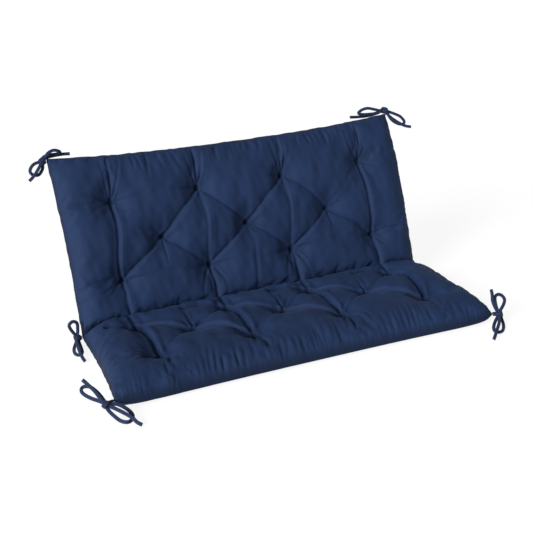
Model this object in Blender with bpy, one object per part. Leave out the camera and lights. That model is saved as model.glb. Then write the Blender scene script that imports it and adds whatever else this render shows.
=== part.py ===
# Bench cushion: one filled cover with a seat and a back, folded at a sewn crease.
# It is tufted through in rows of four, three and four, and a bow is tied at each end of
# the top seam, the crease and the front seam.
# X runs to the right as seen from the front, Y backwards and Z up, in metres.

import math

import bmesh
import bpy
from mathutils import Vector

# The cover, measured along the seat and up the back
left_half_width = {"front": 0.612, "crease": 0.591, "top": 0.600}
right_half_width = {"front": 0.606, "crease": 0.601, "top": 0.602}
side_draw = {"left_seat": -0.001, "right_seat": 0.000, "left_back": 0.006, "right_back": -0.006}
right_notch = 0.022         # the seat draws in beside the right end of the crease
notch_place = -0.055
notch_spread = 0.045
notch_start = 0.023         # none of it at the crease itself
seat_depth = 0.467
seat_corner_reach = 0.014   # the front seam runs further forward beside its corners
back_height = 0.532
corner_ear = 0.023          # the top corners stand this far above the middle of the seam
back_lean = math.radians(22.0)
crease_z = 0.026            # height of the sewn crease at its middle
crease_end_z = {"left": 0.015, "right": 0.030}
front_seam_z = 0.013        # height of the front seam at its middle
front_corner_z = 0.030      # its corners lift
seam_thickness = 0.003

# Powers that set how late a seam bends on its way to a corner
front_flare_power = 3       # the sides open out towards the front
top_sag_power = 2.5
front_curve_power = 3
front_turn_power = 20
corner_lift_power = 14
crease_end_power = 4

# The filling
seat_crown = 0.068          # from the seam's level to the top of a seat pillow
back_crown = 0.052          # from the back's mid surface to the front of a pillow
rear_crown = 0.042          # and to its rear, where it is pressed flat
crease_floor = 0.024        # the pillows touch above this depth of the crease
crease_round = 0.024
fold_blend = 0.060          # the faces turn over this length at the crease
heel_bulge = 0.012          # the back's lower end swells down onto the surface
heel_place = 0.022
heel_spread = 0.016
side_round = 0.085          # width of the rounding beside each seam
crease_slope = {"left": 0.110, "right": 0.050}  # the seat is rounder where the crease ends
crease_slope_spread = 0.050
front_round = 0.120
top_round = 0.150
underside_round = 0.055
rim_fullness = 0.85         # below 1 fills the rim out
underside_fold = 0.022      # the underside lifts off the floor this near the crease
crease_thickness = 0.020    # from the mid surface to the underside at the crease

# Tufts: the stitches pull both faces together
tuft_pull = {"seat": 0.50, "back": 0.64, "rear": 0.55}
tuft_spread = 0.052
tuft_power = 1.15
rear_row_limit = -0.12      # the seat's tufts behind this pull less far rearwards
rear_row_stretch = 1.5
underside_dimple = 0.014
underside_dimple_radius = 0.026

# Places on the cover as (x, distance from the crease), up the back or out along the seat
tufts = {
    "T1": (-0.432, 0.390), "T2": (-0.145, 0.394), "T3": (0.154, 0.393), "T4": (0.448, 0.401),
    "M1": (-0.287, 0.257), "M2": (0.004, 0.258), "M3": (0.297, 0.259),
    "B1": (-0.441, 0.144), "B2": (-0.148, 0.142), "B3": (0.144, 0.143), "B4": (0.449, 0.142),
    "R1": (-0.440, -0.106), "R2": (-0.142, -0.106), "R3": (0.147, -0.101), "R4": (0.451, -0.103),
    "S1": (-0.290, -0.196), "S2": (0.009, -0.198), "S3": (0.306, -0.194),
    "F1": (-0.432, -0.318), "F2": (-0.142, -0.316), "F3": (0.159, -0.313), "F4": (0.447, -0.322),
}

# Main creases: from and to (a tuft or a place), how far each bows to its left, half width,
# and the share it takes of the filling that stands above the tufts.
# Each runs past its ends and fades there, by shares of its length. The filling falls to it
# gently on its right and rises steeply on its left, by these shares of the half width.
crease_overrun = 0.10
crease_fade = 0.15
gentle_side = {"seat": 1.8, "back": 1.2}
steep_side = {"seat": 1.0, "back": 0.9}
crease_clear = {"seat": 0.035, "back": 0.012}  # how far short of the sewn crease they end
crease_clear_fade = 0.030
creases = [
    ("T1", "B1", 0.002, 0.016, 0.50),
    ("T4", "B4", 0.004, 0.016, 0.50),
    ("T2", "M1", 0.000, 0.014, 0.60),
    ("M1", "B1", 0.000, 0.014, 0.50),
    ("T3", "M2", 0.000, 0.014, 0.60),
    ("M2", "B2", 0.000, 0.014, 0.50),
    ("M3", "B3", 0.000, 0.014, 0.50),
    ("T2", "M2", 0.003, 0.014, 0.35),
    ("T3", "M3", 0.010, 0.014, 0.45),
    ("M3", "B4", 0.003, 0.014, 0.45),
    ("M1", "B2", 0.000, 0.013, 0.30),
    ("M2", "B3", 0.003, 0.013, 0.30),
    ("T2", "B2", 0.008, 0.014, 0.30),
    ("T3", "B3", 0.007, 0.014, 0.30),
    ("B1", "B2", 0.006, 0.012, 0.10),
    ("B3", "B4", 0.008, 0.012, 0.10),
    ("B1", (-0.438, 0.010), 0.002, 0.014, 0.45),
    ("B4", (0.450, 0.010), 0.004, 0.014, 0.45),
    ("B2", (-0.146, 0.012), 0.004, 0.014, 0.35),
    ("B3", (0.150, 0.012), 0.004, 0.014, 0.35),
    ((-0.420, 0.480), "T1", 0.004, 0.013, 0.40),
    ((-0.390, 0.470), "T1", 0.004, 0.013, 0.35),
    ((-0.164, 0.475), "T2", 0.004, 0.013, 0.30),
    ((-0.136, 0.480), "T2", 0.004, 0.013, 0.45),
    ((0.128, 0.475), "T3", 0.004, 0.013, 0.30),
    ((0.150, 0.480), "T3", 0.004, 0.013, 0.45),
    ((0.416, 0.475), "T4", 0.000, 0.013, 0.35),
    ((0.446, 0.480), "T4", 0.004, 0.013, 0.45),
    ("R1", (-0.445, -0.014), 0.004, 0.013, 0.45),
    ("R2", (-0.140, -0.014), 0.006, 0.013, 0.45),
    ("R3", (0.155, -0.014), 0.006, 0.013, 0.45),
    ("R4", (0.456, -0.014), 0.006, 0.013, 0.45),
    ("R1", "F1", 0.002, 0.016, 0.65),
    ("R2", "F2", 0.005, 0.015, 0.60),
    ("R3", "F3", 0.003, 0.015, 0.60),
    ((0.483, -0.117), "F4", 0.010, 0.016, 0.65),
    ("R4", (0.483, -0.117), 0.004, 0.013, 0.30),
    ("R1", "S1", -0.006, 0.015, 0.55),
    ("R2", "S1", 0.000, 0.015, 0.25),
    ("R2", "S2", 0.000, 0.015, 0.55),
    ("R3", "S2", 0.000, 0.015, 0.25),
    ("R3", "S3", -0.006, 0.015, 0.55),
    ("R4", "S3", 0.000, 0.015, 0.25),
    ((-0.535, -0.100), "R1", 0.006, 0.013, 0.28),
    ((-0.290, -0.086), "R2", 0.013, 0.014, 0.40),
    ((0.005, -0.084), "R3", 0.013, 0.014, 0.40),
    ((0.312, -0.080), "R4", 0.013, 0.014, 0.40),
    ("S1", "F1", 0.000, 0.014, 0.15),
    ("S1", "F2", 0.016, 0.015, 0.40),
    ("S2", "F2", 0.000, 0.014, 0.20),
    ("S2", "F3", 0.006, 0.015, 0.45),
    ("S3", "F3", 0.000, 0.014, 0.20),
    ("S3", "F4", 0.008, 0.015, 0.45),
    ("F1", (-0.424, -0.400), 0.000, 0.013, 0.35),
    ("F2", (-0.150, -0.405), 0.000, 0.013, 0.35),
    ("F2", (-0.112, -0.405), 0.008, 0.013, 0.40),
    ("F3", (0.150, -0.405), 0.000, 0.013, 0.35),
    ("F3", (0.190, -0.400), 0.008, 0.013, 0.40),
    ("F4", (0.466, -0.400), 0.006, 0.013, 0.35),
]

# The mesh: columns, and rows on the seat and on the back, for the upper and the lower face
upper_grid = {"columns": 60, "seat": 24, "back": 30}
lower_grid = {"columns": 40, "seat": 16, "back": 20}
row_easing = 0.18           # rows and columns close up a little towards the seams

# The ties: flat straps, sewn in at the seam and tied in a bow
strap_diameter = 0.0090     # of the round tube that stands for a strap
strap_step = 0.020          # distance between a tube's points
route_samples = 12          # points of the smooth curve from one route point to the next
loop_closing = 0.1          # a loop's run ends this share of the way from the knot's middle
knot_size = (0.020, 0.017, 0.020)
sewing_gap = 0.0010         # between the cover's corner and the strap that is sewn to it

# Each bow by its corner's (side, distance along the cover), with places from that corner.
# A loop's points run out of the knot and back into it.
bows = {
    "tie_top_left": {
        "corner": (-1, "top"),
        "knot": (-0.014, -0.004, -0.006),
        "loops": [
            [(-0.003, -0.001, 0.005), (0.008, 0.003, 0.016), (0.025, 0.006, 0.022),
             (0.040, 0.008, 0.018), (0.047, 0.010, 0.011), (0.036, 0.012, 0.007),
             (0.012, 0.014, 0.007), (-0.006, 0.011, 0.003)],
            [(-0.024, -0.005, -0.006), (-0.043, -0.007, -0.012), (-0.055, -0.011, -0.027),
             (-0.050, -0.014, -0.040), (-0.033, -0.015, -0.044), (-0.021, -0.013, -0.034),
             (-0.015, -0.010, -0.022)],
        ],
        "tails": [
            [(-0.008, 0.012, -0.004), (0.014, 0.020, 0.000), (0.050, 0.018, 0.003), (0.077, 0.012, 0.003)],
            [(-0.021, -0.012, -0.013), (-0.034, -0.020, -0.028), (-0.049, -0.027, -0.043),
             (-0.064, -0.030, -0.055)],
        ],
    },
    "tie_top_right": {
        "corner": (1, "top"),
        "knot": (0.002, 0.009, 0.009),
        "loops": [
            [(-0.018, 0.010, 0.011), (-0.042, 0.013, 0.018), (-0.064, 0.015, 0.023),
             (-0.087, 0.013, 0.020), (-0.102, 0.010, 0.011), (-0.086, 0.009, 0.005),
             (-0.060, 0.009, 0.003), (-0.034, 0.009, 0.003)],
            [(0.020, 0.004, 0.002), (0.039, 0.001, -0.006), (0.059, -0.005, -0.017),
             (0.072, -0.011, -0.034), (0.066, -0.014, -0.043), (0.048, -0.013, -0.041),
             (0.024, -0.006, -0.025)],
        ],
        "tails": [
            [(-0.022, 0.018, 0.000), (-0.060, 0.019, -0.005), (-0.100, 0.013, -0.003),
             (-0.136, 0.008, 0.001)],
            [(0.014, -0.003, -0.009), (0.036, -0.012, -0.028), (0.066, -0.022, -0.047),
             (0.093, -0.023, -0.055)],
        ],
    },
    "tie_crease_left": {
        "corner": (-1, "crease"),
        "knot": (-0.016, -0.008, 0.005),
        "loops": [
            [(-0.022, -0.009, 0.017), (-0.034, -0.010, 0.039), (-0.037, -0.010, 0.055),
             (-0.025, -0.010, 0.064), (-0.013, -0.011, 0.056), (-0.013, -0.011, 0.035),
             (-0.015, -0.010, 0.018)],
            [(-0.025, -0.022, -0.003), (-0.038, -0.050, -0.009), (-0.042, -0.082, -0.009),
             (-0.034, -0.098, -0.009), (-0.022, -0.088, -0.009), (-0.017, -0.058, -0.009),
             (-0.016, -0.028, -0.003)],
        ],
        "tails": [
            [(-0.014, 0.008, 0.001), (-0.010, 0.026, -0.006), (-0.006, 0.046, -0.009)],
            [(-0.024, -0.030, 0.005), (-0.028, -0.064, 0.003), (-0.030, -0.098, 0.000),
             (-0.029, -0.125, -0.007), (-0.027, -0.146, -0.009)],
        ],
    },
    "tie_crease_right": {
        "corner": (1, "crease"),
        "knot": (0.016, 0.008, -0.008),
        "loops": [
            [(0.013, 0.014, 0.006), (0.002, 0.026, 0.022), (-0.010, 0.044, 0.029),
             (-0.018, 0.060, 0.020), (-0.012, 0.058, 0.004), (0.002, 0.034, -0.006)],
            [(0.016, 0.024, -0.016), (0.006, 0.050, -0.024), (-0.008, 0.078, -0.024),
             (-0.026, 0.080, -0.024), (-0.026, 0.058, -0.024), (-0.008, 0.032, -0.020)],
        ],
        "tails": [
            [(0.006, 0.030, -0.016), (-0.014, 0.056, -0.014), (-0.040, 0.074, -0.021),
             (-0.058, 0.084, -0.024)],
            [(0.018, 0.020, -0.014), (0.014, 0.040, -0.024), (0.002, 0.064, -0.014),
             (-0.004, 0.096, -0.023), (-0.010, 0.116, -0.024)],
        ],
    },
    "tie_front_left": {
        "corner": (-1, "front"),
        "knot": (-0.024, -0.008, 0.000),
        "loops": [
            [(-0.033, 0.004, 0.005), (-0.054, 0.028, 0.009), (-0.068, 0.048, 0.014),
             (-0.073, 0.062, 0.020), (-0.066, 0.070, 0.026), (-0.050, 0.060, 0.028),
             (-0.037, 0.034, 0.022), (-0.027, 0.006, 0.009)],
            [(-0.024, -0.024, -0.006), (-0.015, -0.050, -0.014), (-0.002, -0.068, -0.023),
             (0.014, -0.080, -0.024), (0.030, -0.066, -0.024), (0.033, -0.046, -0.020),
             (0.020, -0.030, -0.008), (0.000, -0.018, 0.002)],
        ],
        "tails": [
            [(-0.034, 0.006, 0.013), (-0.043, 0.032, 0.027), (-0.055, 0.056, 0.038),
             (-0.065, 0.070, 0.048)],
            [(-0.012, -0.024, -0.002), (0.008, -0.048, -0.009), (0.025, -0.078, -0.014),
             (0.034, -0.095, -0.022), (0.043, -0.108, -0.025)],
        ],
    },
    "tie_front_right": {
        "corner": (1, "front"),
        "knot": (0.021, -0.006, -0.002),
        "loops": [
            [(0.029, 0.000, 0.008), (0.045, 0.008, 0.020), (0.053, 0.014, 0.034),
             (0.046, 0.019, 0.047), (0.031, 0.020, 0.054), (0.019, 0.018, 0.048),
             (0.016, 0.010, 0.030), (0.018, 0.002, 0.012)],
            [(0.021, -0.018, -0.012), (0.015, -0.036, -0.021), (0.003, -0.054, -0.024),
             (-0.015, -0.072, -0.024), (-0.030, -0.074, -0.024), (-0.034, -0.058, -0.024),
             (-0.020, -0.036, -0.019), (0.002, -0.018, -0.009)],
        ],
        "tails": [
            [(0.014, 0.004, 0.014), (0.007, 0.013, 0.038), (0.007, 0.017, 0.058), (0.004, 0.020, 0.076)],
            [(0.010, -0.022, -0.006), (-0.012, -0.050, -0.009), (-0.036, -0.074, -0.014),
             (-0.056, -0.093, -0.021), (-0.072, -0.108, -0.024)],
        ],
    },
}

navy = (0.023, 0.050, 0.135, 1.0)
navy_strap = (0.018, 0.038, 0.105, 1.0)
cloth_roughness = 0.75


def smooth_step(x):
    x = min(max(x, 0.0), 1.0)
    return x * x * (3.0 - 2.0 * x)


def rounded(distance, reach):
    """Rises from 0 at a seam to 1 at reach, upright at the seam like a filled edge."""
    share = min(max(distance / reach, 0.0), 1.0)
    return math.sqrt(1.0 - (1.0 - share) ** 2)


def eased(share):
    return share - row_easing * math.sin(2.0 * math.pi * share) / (2.0 * math.pi)


def along_between(a, b, share):
    return a + (b - a) * share


def half_width(side, v):
    """Half the cover's width on one side, at a distance v from the crease."""
    ends, name = (left_half_width, "left") if side < 0.0 else (right_half_width, "right")
    if v < 0.0:
        share = min(-v / seat_depth, 1.0)
        straight = along_between(ends["crease"], ends["front"], share ** front_flare_power)
        if side > 0.0:
            beside_crease = math.exp(-(((v - notch_place) / notch_spread) ** 2))
            straight -= right_notch * beside_crease * min(-v / notch_start, 1.0)
        return straight - side_draw[name + "_seat"] * math.sin(math.pi * share)
    share = min(v / back_height, 1.0)
    straight = along_between(ends["crease"], ends["top"], share)
    return straight - side_draw[name + "_back"] * math.sin(math.pi * share)


def top_reach(side):
    """Height of the top seam along the back: it sags between its corners."""
    return back_height + corner_ear * abs(side) ** top_sag_power


def front_reach(side):
    """Depth of the front seam: it runs forward towards its corners and turns in at them."""
    forward = abs(side) ** front_curve_power - abs(side) ** front_turn_power
    return seat_depth + seat_corner_reach * forward


def seam_level(side):
    """Height of the sewn crease, which sinks or lifts towards its ends."""
    end = crease_end_z["left" if side < 0.0 else "right"]
    return along_between(crease_z, end, abs(side) ** crease_end_power)


def mid_surface(side, v):
    """A point of the surface that the seams lie on. side runs from -1 to 1."""
    x = side * half_width(side, v)
    if v < 0.0:
        front = along_between(front_seam_z, front_corner_z, abs(side) ** corner_lift_power)
        height = along_between(seam_level(side), front, -v / front_reach(side))
        return Vector((x, v, height))
    fade = 1.0 - smooth_step(v / back_height)
    height = crease_z + (seam_level(side) - crease_z) * fade + v * math.cos(back_lean)
    return Vector((x, v * math.sin(back_lean), height))


def upper_turn(v):
    """The upper face points up on the seat and forward on the back, and turns at the crease."""
    return (math.pi / 2.0 - back_lean) * smooth_step((v + fold_blend) / (2.0 * fold_blend))


def lower_turn(v):
    """The underside stays level up to the crease and turns above it."""
    return (math.pi / 2.0 - back_lean) * smooth_step(v / fold_blend)


def place(name):
    return tufts[name] if isinstance(name, str) else name


def tuft_factor(x, v, pull):
    """What the tufts leave of the filling's height."""
    left = 1.0
    for tuft_x, tuft_v in tufts.values():
        if (v < 0.0) != (tuft_v < 0.0):
            continue
        ahead = v - tuft_v
        if rear_row_limit < tuft_v < v < 0.0:
            ahead *= rear_row_stretch
        gap = math.hypot(x - tuft_x, ahead)
        left *= 1.0 - pull * math.exp(-((gap / tuft_spread) ** tuft_power))
    return left


def crease_factor(x, v):
    """What the main creases leave of the filling that stands above the tufts."""
    left = 1.0
    for start, end, bow, width, cut in creases:
        start_x, start_v = place(start)
        end_x, end_v = place(end)
        if (v < 0.0) != (start_v + end_v < 0.0):
            continue
        run_x = end_x - start_x
        run_v = end_v - start_v
        length = math.hypot(run_x, run_v)
        share = ((x - start_x) * run_x + (v - start_v) * run_v) / length ** 2
        past_start = share + crease_overrun
        before_end = 1.0 + crease_overrun - share
        if past_start < 0.0 or before_end < 0.0:
            continue
        off = ((v - start_v) * run_x - (x - start_x) * run_v) / length
        off -= bow * math.sin(math.pi * share)
        width *= (steep_side if off > 0.0 else gentle_side)["seat" if v < 0.0 else "back"]
        ends = smooth_step(past_start / crease_fade) * smooth_step(before_end / crease_fade)
        left *= 1.0 - cut * ends * math.exp(-((off / width) ** 2))
    clear = crease_clear["seat" if v < 0.0 else "back"]
    return 1.0 - (1.0 - left) * smooth_step((abs(v) - clear) / crease_clear_fade)


def crease_share(v):
    """Height of the filling beside the sewn crease, as a share of the crown."""
    return 1.0 - math.exp(-abs(v) / crease_round)


def seam_share(side, v):
    """Rounding towards the outer seams, 0 on them and 1 well inside."""
    reach = side_round
    if v < 0.0:
        slope = crease_slope["left" if side < 0.0 else "right"]
        reach += slope * math.exp(-((v / crease_slope_spread) ** 2))
        ahead = rounded(front_reach(side) + v, front_round)
    else:
        ahead = rounded(top_reach(side) - v, top_round)
    beside = rounded((1.0 - abs(side)) * half_width(side, v), reach)
    return (beside * ahead) ** rim_fullness


def upper_height(side, v):
    """The face that is sat on and leant on, above the mid surface."""
    x = side * half_width(side, v)
    crown, pull = (seat_crown, tuft_pull["seat"]) if v < 0.0 else (back_crown, tuft_pull["back"])
    tuft_level = crown * (1.0 - pull)
    full = tuft_level + (crown * tuft_factor(x, v, pull) - tuft_level) * crease_factor(x, v)
    full = along_between(crease_floor, full, crease_share(v))
    return seam_thickness / 2.0 + seam_share(side, v) * full


def lower_height(side, v):
    """The underside and the rear, below the mid surface."""
    x = side * half_width(side, v)
    if v < 0.0:
        reach = min((1.0 - abs(side)) * half_width(side, v), front_reach(side) + v)
        level = mid_surface(side, v).z
        flat = max(level * rounded(reach, underside_round), seam_thickness / 2.0)
        for tuft_x, tuft_v in tufts.values():
            gap = math.hypot(x - tuft_x, v - tuft_v) / underside_dimple_radius
            flat -= underside_dimple * max(1.0 - gap ** 2 / 4.0, 0.0) ** 3 * (tuft_v < 0.0)
        edge = min(seam_level(side) - seam_thickness, crease_thickness)
        return along_between(edge * seam_share(side, v), flat, smooth_step(-v / underside_fold))
    full = min(back_crown * tuft_factor(x, v, tuft_pull["rear"]), rear_crown)
    full = along_between(min(seam_level(side) - seam_thickness, crease_thickness), full, crease_share(v))
    full += heel_bulge * math.exp(-(((v - heel_place) / heel_spread) ** 2))
    floor = mid_surface(side, v).z / math.cos(lower_turn(v))
    return min(seam_thickness / 2.0 + seam_share(side, v) * full, floor)


def shaped_sheet(grid, height_of, turn_of, direction):
    """A grid laid over the cover and moved off the mid surface by height_of."""
    sheet = bmesh.new()
    rows = grid["seat"] + grid["back"]
    bmesh.ops.create_grid(sheet, x_segments=grid["columns"], y_segments=rows, size=0.5)
    for vert in sheet.verts:
        side = 2.0 * eased(vert.co.x + 0.5) - 1.0
        row = (vert.co.y + 0.5) * rows
        if row < grid["seat"] - 0.01:
            v = -front_reach(side) * (1.0 - eased(row / grid["seat"]))
        else:
            v = top_reach(side) * eased((row - grid["seat"]) / grid["back"])
        turn = turn_of(v)
        normal = Vector((0.0, -math.sin(turn), math.cos(turn)))
        vert.co = mid_surface(side, v) + normal * direction * height_of(side, v)
    return sheet


def make_material(name, colour):
    material = bpy.data.materials.new(name)
    material.use_nodes = True
    shader = material.node_tree.nodes["Principled BSDF"]
    shader.inputs["Base Color"].default_value = colour
    shader.inputs["Roughness"].default_value = cloth_roughness
    shader.inputs["Metallic"].default_value = 0.0
    return material


def add_object(name, mesh, material):
    made = bpy.data.objects.new(name, mesh)
    bpy.context.scene.collection.objects.link(made)
    mesh.materials.clear()
    mesh.materials.append(material)
    mesh.shade_smooth()
    return made


def make_cushion(material):
    """The upper and lower sheets, closed with a narrow band along the seam.

    It returns the move that brings the bottom centre of the cushion's box to the origin.
    """
    upper = shaped_sheet(upper_grid, upper_height, upper_turn, 1.0)
    lower = shaped_sheet(lower_grid, lower_height, lower_turn, -1.0)
    bmesh.ops.reverse_faces(lower, faces=lower.faces)
    lower_mesh = bpy.data.meshes.new("lower_sheet")
    lower.to_mesh(lower_mesh)
    lower.free()
    upper.from_mesh(lower_mesh)
    bpy.data.meshes.remove(lower_mesh)
    rims = [edge for edge in upper.edges if edge.is_boundary]
    bmesh.ops.bridge_loops(upper, edges=rims)
    bmesh.ops.triangulate(upper, faces=upper.faces)
    bmesh.ops.recalc_face_normals(upper, faces=upper.faces)
    lowest = [min(vert.co[axis] for vert in upper.verts) for axis in range(3)]
    highest = [max(vert.co[axis] for vert in upper.verts) for axis in range(3)]
    to_origin = -Vector(((lowest[0] + highest[0]) / 2.0, (lowest[1] + highest[1]) / 2.0, lowest[2]))
    bmesh.ops.translate(upper, verts=upper.verts, vec=to_origin)
    mesh = bpy.data.meshes.new("cushion")
    upper.to_mesh(mesh)
    upper.free()
    add_object("cushion", mesh, material)
    return to_origin


def smooth_route(points):
    """Points at even steps on a smooth curve through the route's own points."""
    route = [Vector(point) for point in points]
    route = [2.0 * route[0] - route[1]] + route + [2.0 * route[-1] - route[-2]]
    dense = []
    for before, start, end, after in zip(route, route[1:], route[2:], route[3:]):
        for step in range(route_samples):
            t = step / route_samples
            dense.append(0.5 * (
                2.0 * start + (end - before) * t
                + (2.0 * before - 5.0 * start + 4.0 * end - after) * t ** 2
                + (3.0 * start - before - 3.0 * end + after) * t ** 3
            ))
    dense.append(route[-2])
    lengths = [0.0]
    for a, b in zip(dense, dense[1:]):
        lengths.append(lengths[-1] + (b - a).length)
    steps = max(round(lengths[-1] / strap_step), 2)
    evened = []
    index = 0
    for step in range(steps + 1):
        wanted = lengths[-1] * step / steps
        while index < len(lengths) - 2 and lengths[index + 1] < wanted:
            index += 1
        share = (wanted - lengths[index]) / (lengths[index + 1] - lengths[index])
        evened.append(dense[index].lerp(dense[index + 1], share))
    return evened


def make_tube(name, points):
    """A strap's run as a closed tube, kept as a hidden helper for the bow's union."""
    curve = bpy.data.curves.new(name, "CURVE")
    curve.dimensions = "3D"
    curve.bevel_depth = strap_diameter / 2.0
    curve.bevel_resolution = 2
    curve.use_fill_caps = True
    spline = curve.splines.new("POLY")
    evened = smooth_route(points)
    spline.points.add(len(evened) - 1)
    for point, place_at in zip(spline.points, evened):
        point.co = (*place_at, 1.0)
    guide = bpy.data.objects.new(name, curve)
    bpy.context.scene.collection.objects.link(guide)
    graph = bpy.context.evaluated_depsgraph_get()
    mesh = bpy.data.meshes.new_from_object(guide.evaluated_get(graph))
    bpy.data.objects.remove(guide)
    bpy.data.curves.remove(curve)
    closed = bmesh.new()
    closed.from_mesh(mesh)
    bmesh.ops.remove_doubles(closed, verts=closed.verts, dist=0.00001)
    bmesh.ops.recalc_face_normals(closed, faces=closed.faces)
    closed.to_mesh(mesh)
    closed.free()
    tube = bpy.data.objects.new(name, mesh)
    tube.hide_render = True
    tube.display_type = "WIRE"
    return tube


def corner_point(side, where):
    v = {"front": -front_reach(side), "crease": 0.0, "top": top_reach(side)}[where]
    return mid_surface(side, v)


def make_bow(name, bow, to_origin, material):
    """One knot with its two loops, its two tails and the straps' sewn ends, in one piece."""
    corner = corner_point(*bow["corner"]) + to_origin
    knot = Vector(bow["knot"])
    ball = bmesh.new()
    bmesh.ops.create_uvsphere(ball, u_segments=10, v_segments=7, radius=0.5)
    for vert in ball.verts:
        vert.co = Vector([vert.co[axis] * knot_size[axis] for axis in range(3)]) + corner + knot
    mesh = bpy.data.meshes.new(name)
    ball.to_mesh(mesh)
    ball.free()
    made = add_object(name, mesh, material)
    runs = [[knot] + loop + [knot.lerp(Vector(loop[-1]), loop_closing)] for loop in bow["loops"]]
    runs += [[knot] + tail for tail in bow["tails"]]
    outwards = Vector((bow["corner"][0], 0.0, 0.0))
    sewn_from = outwards * sewing_gap
    clear_of_seam = sewn_from + outwards * strap_diameter
    runs.append([sewn_from, sewn_from.lerp(clear_of_seam, 0.5), clear_of_seam, knot])
    helpers = bpy.data.collections.new(name + "_runs")
    for number, run in enumerate(runs):
        tube = make_tube(f"{name}_run_{number}", [corner + Vector(point) for point in run])
        helpers.objects.link(tube)
    bpy.context.scene.collection.children.link(helpers)
    union = made.modifiers.new("fused", "BOOLEAN")
    union.operation = "UNION"
    union.operand_type = "COLLECTION"
    union.collection = helpers
    union.solver = "EXACT"
    return made


def main():
    for old in list(bpy.data.objects):
        bpy.data.objects.remove(old)
    to_origin = make_cushion(make_material("navy_cover", navy))
    strap_material = make_material("navy_strap", navy_strap)
    for name, bow in bows.items():
        make_bow(name, bow, to_origin, strap_material)


main()
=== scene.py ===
# A tufted bench cushion in navy cloth, with a bow at each of its six corners.
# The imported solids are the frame. The cushion's cover and the straps are made over them.

import math

import bmesh
import bpy
import numpy as np
from mathutils import Matrix, Vector


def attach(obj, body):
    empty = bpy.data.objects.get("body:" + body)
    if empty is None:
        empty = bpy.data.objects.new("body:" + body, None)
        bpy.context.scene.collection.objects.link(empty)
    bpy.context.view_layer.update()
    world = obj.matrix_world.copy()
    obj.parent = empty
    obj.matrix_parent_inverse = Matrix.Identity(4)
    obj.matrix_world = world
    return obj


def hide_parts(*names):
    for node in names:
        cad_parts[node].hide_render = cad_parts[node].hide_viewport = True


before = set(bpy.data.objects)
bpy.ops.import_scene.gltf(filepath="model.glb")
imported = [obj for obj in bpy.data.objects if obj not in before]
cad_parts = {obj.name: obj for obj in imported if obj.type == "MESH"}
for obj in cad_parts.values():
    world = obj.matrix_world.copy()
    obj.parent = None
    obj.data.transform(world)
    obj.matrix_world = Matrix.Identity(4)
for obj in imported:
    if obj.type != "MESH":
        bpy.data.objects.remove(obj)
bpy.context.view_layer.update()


# Camera, where the photo was taken from
cameraSettings = {
    "place": (-1.0900, -2.5815, 1.2893),
    "yaw": 22.66,
    "pitch": 21.47,
    "roll": -2.06,
    "lens": 64.5,
    "sensor": 36.0,
    "farthest": 50.0,
}


def makeCamera(settings):
    yaw, pitch, roll = (math.radians(settings[name]) for name in ("yaw", "pitch", "roll"))
    forward = Vector((math.sin(yaw) * math.cos(pitch), math.cos(yaw) * math.cos(pitch), -math.sin(pitch)))
    right = Vector((math.cos(yaw), -math.sin(yaw), 0.0))
    up = right.cross(forward)
    rolledRight = right * math.cos(roll) + up * math.sin(roll)
    rolledUp = up * math.cos(roll) - right * math.sin(roll)
    data = bpy.data.cameras.new("photoCamera")
    data.sensor_width = settings["sensor"]
    data.lens = settings["lens"]
    data.clip_end = settings["farthest"]
    camera = bpy.data.objects.new("photoCamera", data)
    turn = Matrix((rolledRight, rolledUp, -forward)).transposed().to_4x4()
    camera.matrix_world = Matrix.Translation(settings["place"]) @ turn
    bpy.context.scene.collection.objects.link(camera)
    bpy.context.scene.camera = camera


makeCamera(cameraSettings)
print("camera placed")


# Small helpers for the node materials
def newMaterial(name):
    material = bpy.data.materials.new(name)
    material.use_nodes = True
    return material, material.node_tree.nodes


def setInputs(node, values):
    # a plain value is set, and another node's output is linked
    for name, value in values.items():
        if name not in node.inputs:
            setattr(node, name, value)
        elif isinstance(value, bpy.types.NodeSocket):
            node.id_data.links.new(value, node.inputs[name])
        else:
            node.inputs[name].default_value = value


def addNode(nodes, kind, **values):
    node = nodes.new(kind)
    setInputs(node, values)
    return node


def addMath(nodes, operation, *values):
    node = addNode(nodes, "ShaderNodeMath", operation=operation)
    for socket, value in zip(node.inputs, values):
        if isinstance(value, bpy.types.NodeSocket):
            node.id_data.links.new(value, socket)
        else:
            socket.default_value = value
    return node.outputs[0]


def addRamp(nodes, factor, stops):
    ramp = addNode(nodes, "ShaderNodeValToRGB", Fac=factor)
    while len(ramp.color_ramp.elements) < len(stops):
        ramp.color_ramp.elements.new(0.5)
    for element, (position, value) in zip(ramp.color_ramp.elements, stops):
        element.position = position
        element.color = (*value, 1.0)
    return ramp.outputs["Color"]


def addShade(nodes, colour, shade):
    return addNode(nodes, "ShaderNodeMix", data_type="RGBA", blend_type="MULTIPLY",
                   Factor=1.0, A=colour, B=shade).outputs["Result"]


# Navy cloth: a tight plain weave that reads the piece's own map, in metres
clothSettings = {
    "light": (0.0112, 0.0262, 0.0752),
    "dark": (0.0086, 0.0203, 0.0592),
    "toneSpan": (0.36, 0.64),
    "threads": 1250.0,          # to the metre
    "roughness": (0.68, 0.80),
    "shine": 0.14,
    "sheen": 0.05,
    "sheenRoughness": 0.45,
    "sheenTint": (0.35, 0.50, 0.90, 1.0),
    "shadeScale": 7.0,
    "slubStretch": (40.0, 420.0, 1.0),
    "slubShare": 0.30,          # of the tone, and the shades make up the rest
    "slubHeight": 0.00025,
    "weaveHeight": 0.00010,
    # share of the colour kept under the fullest painted shade
    "creaseDark": 0.50,
}


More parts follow.
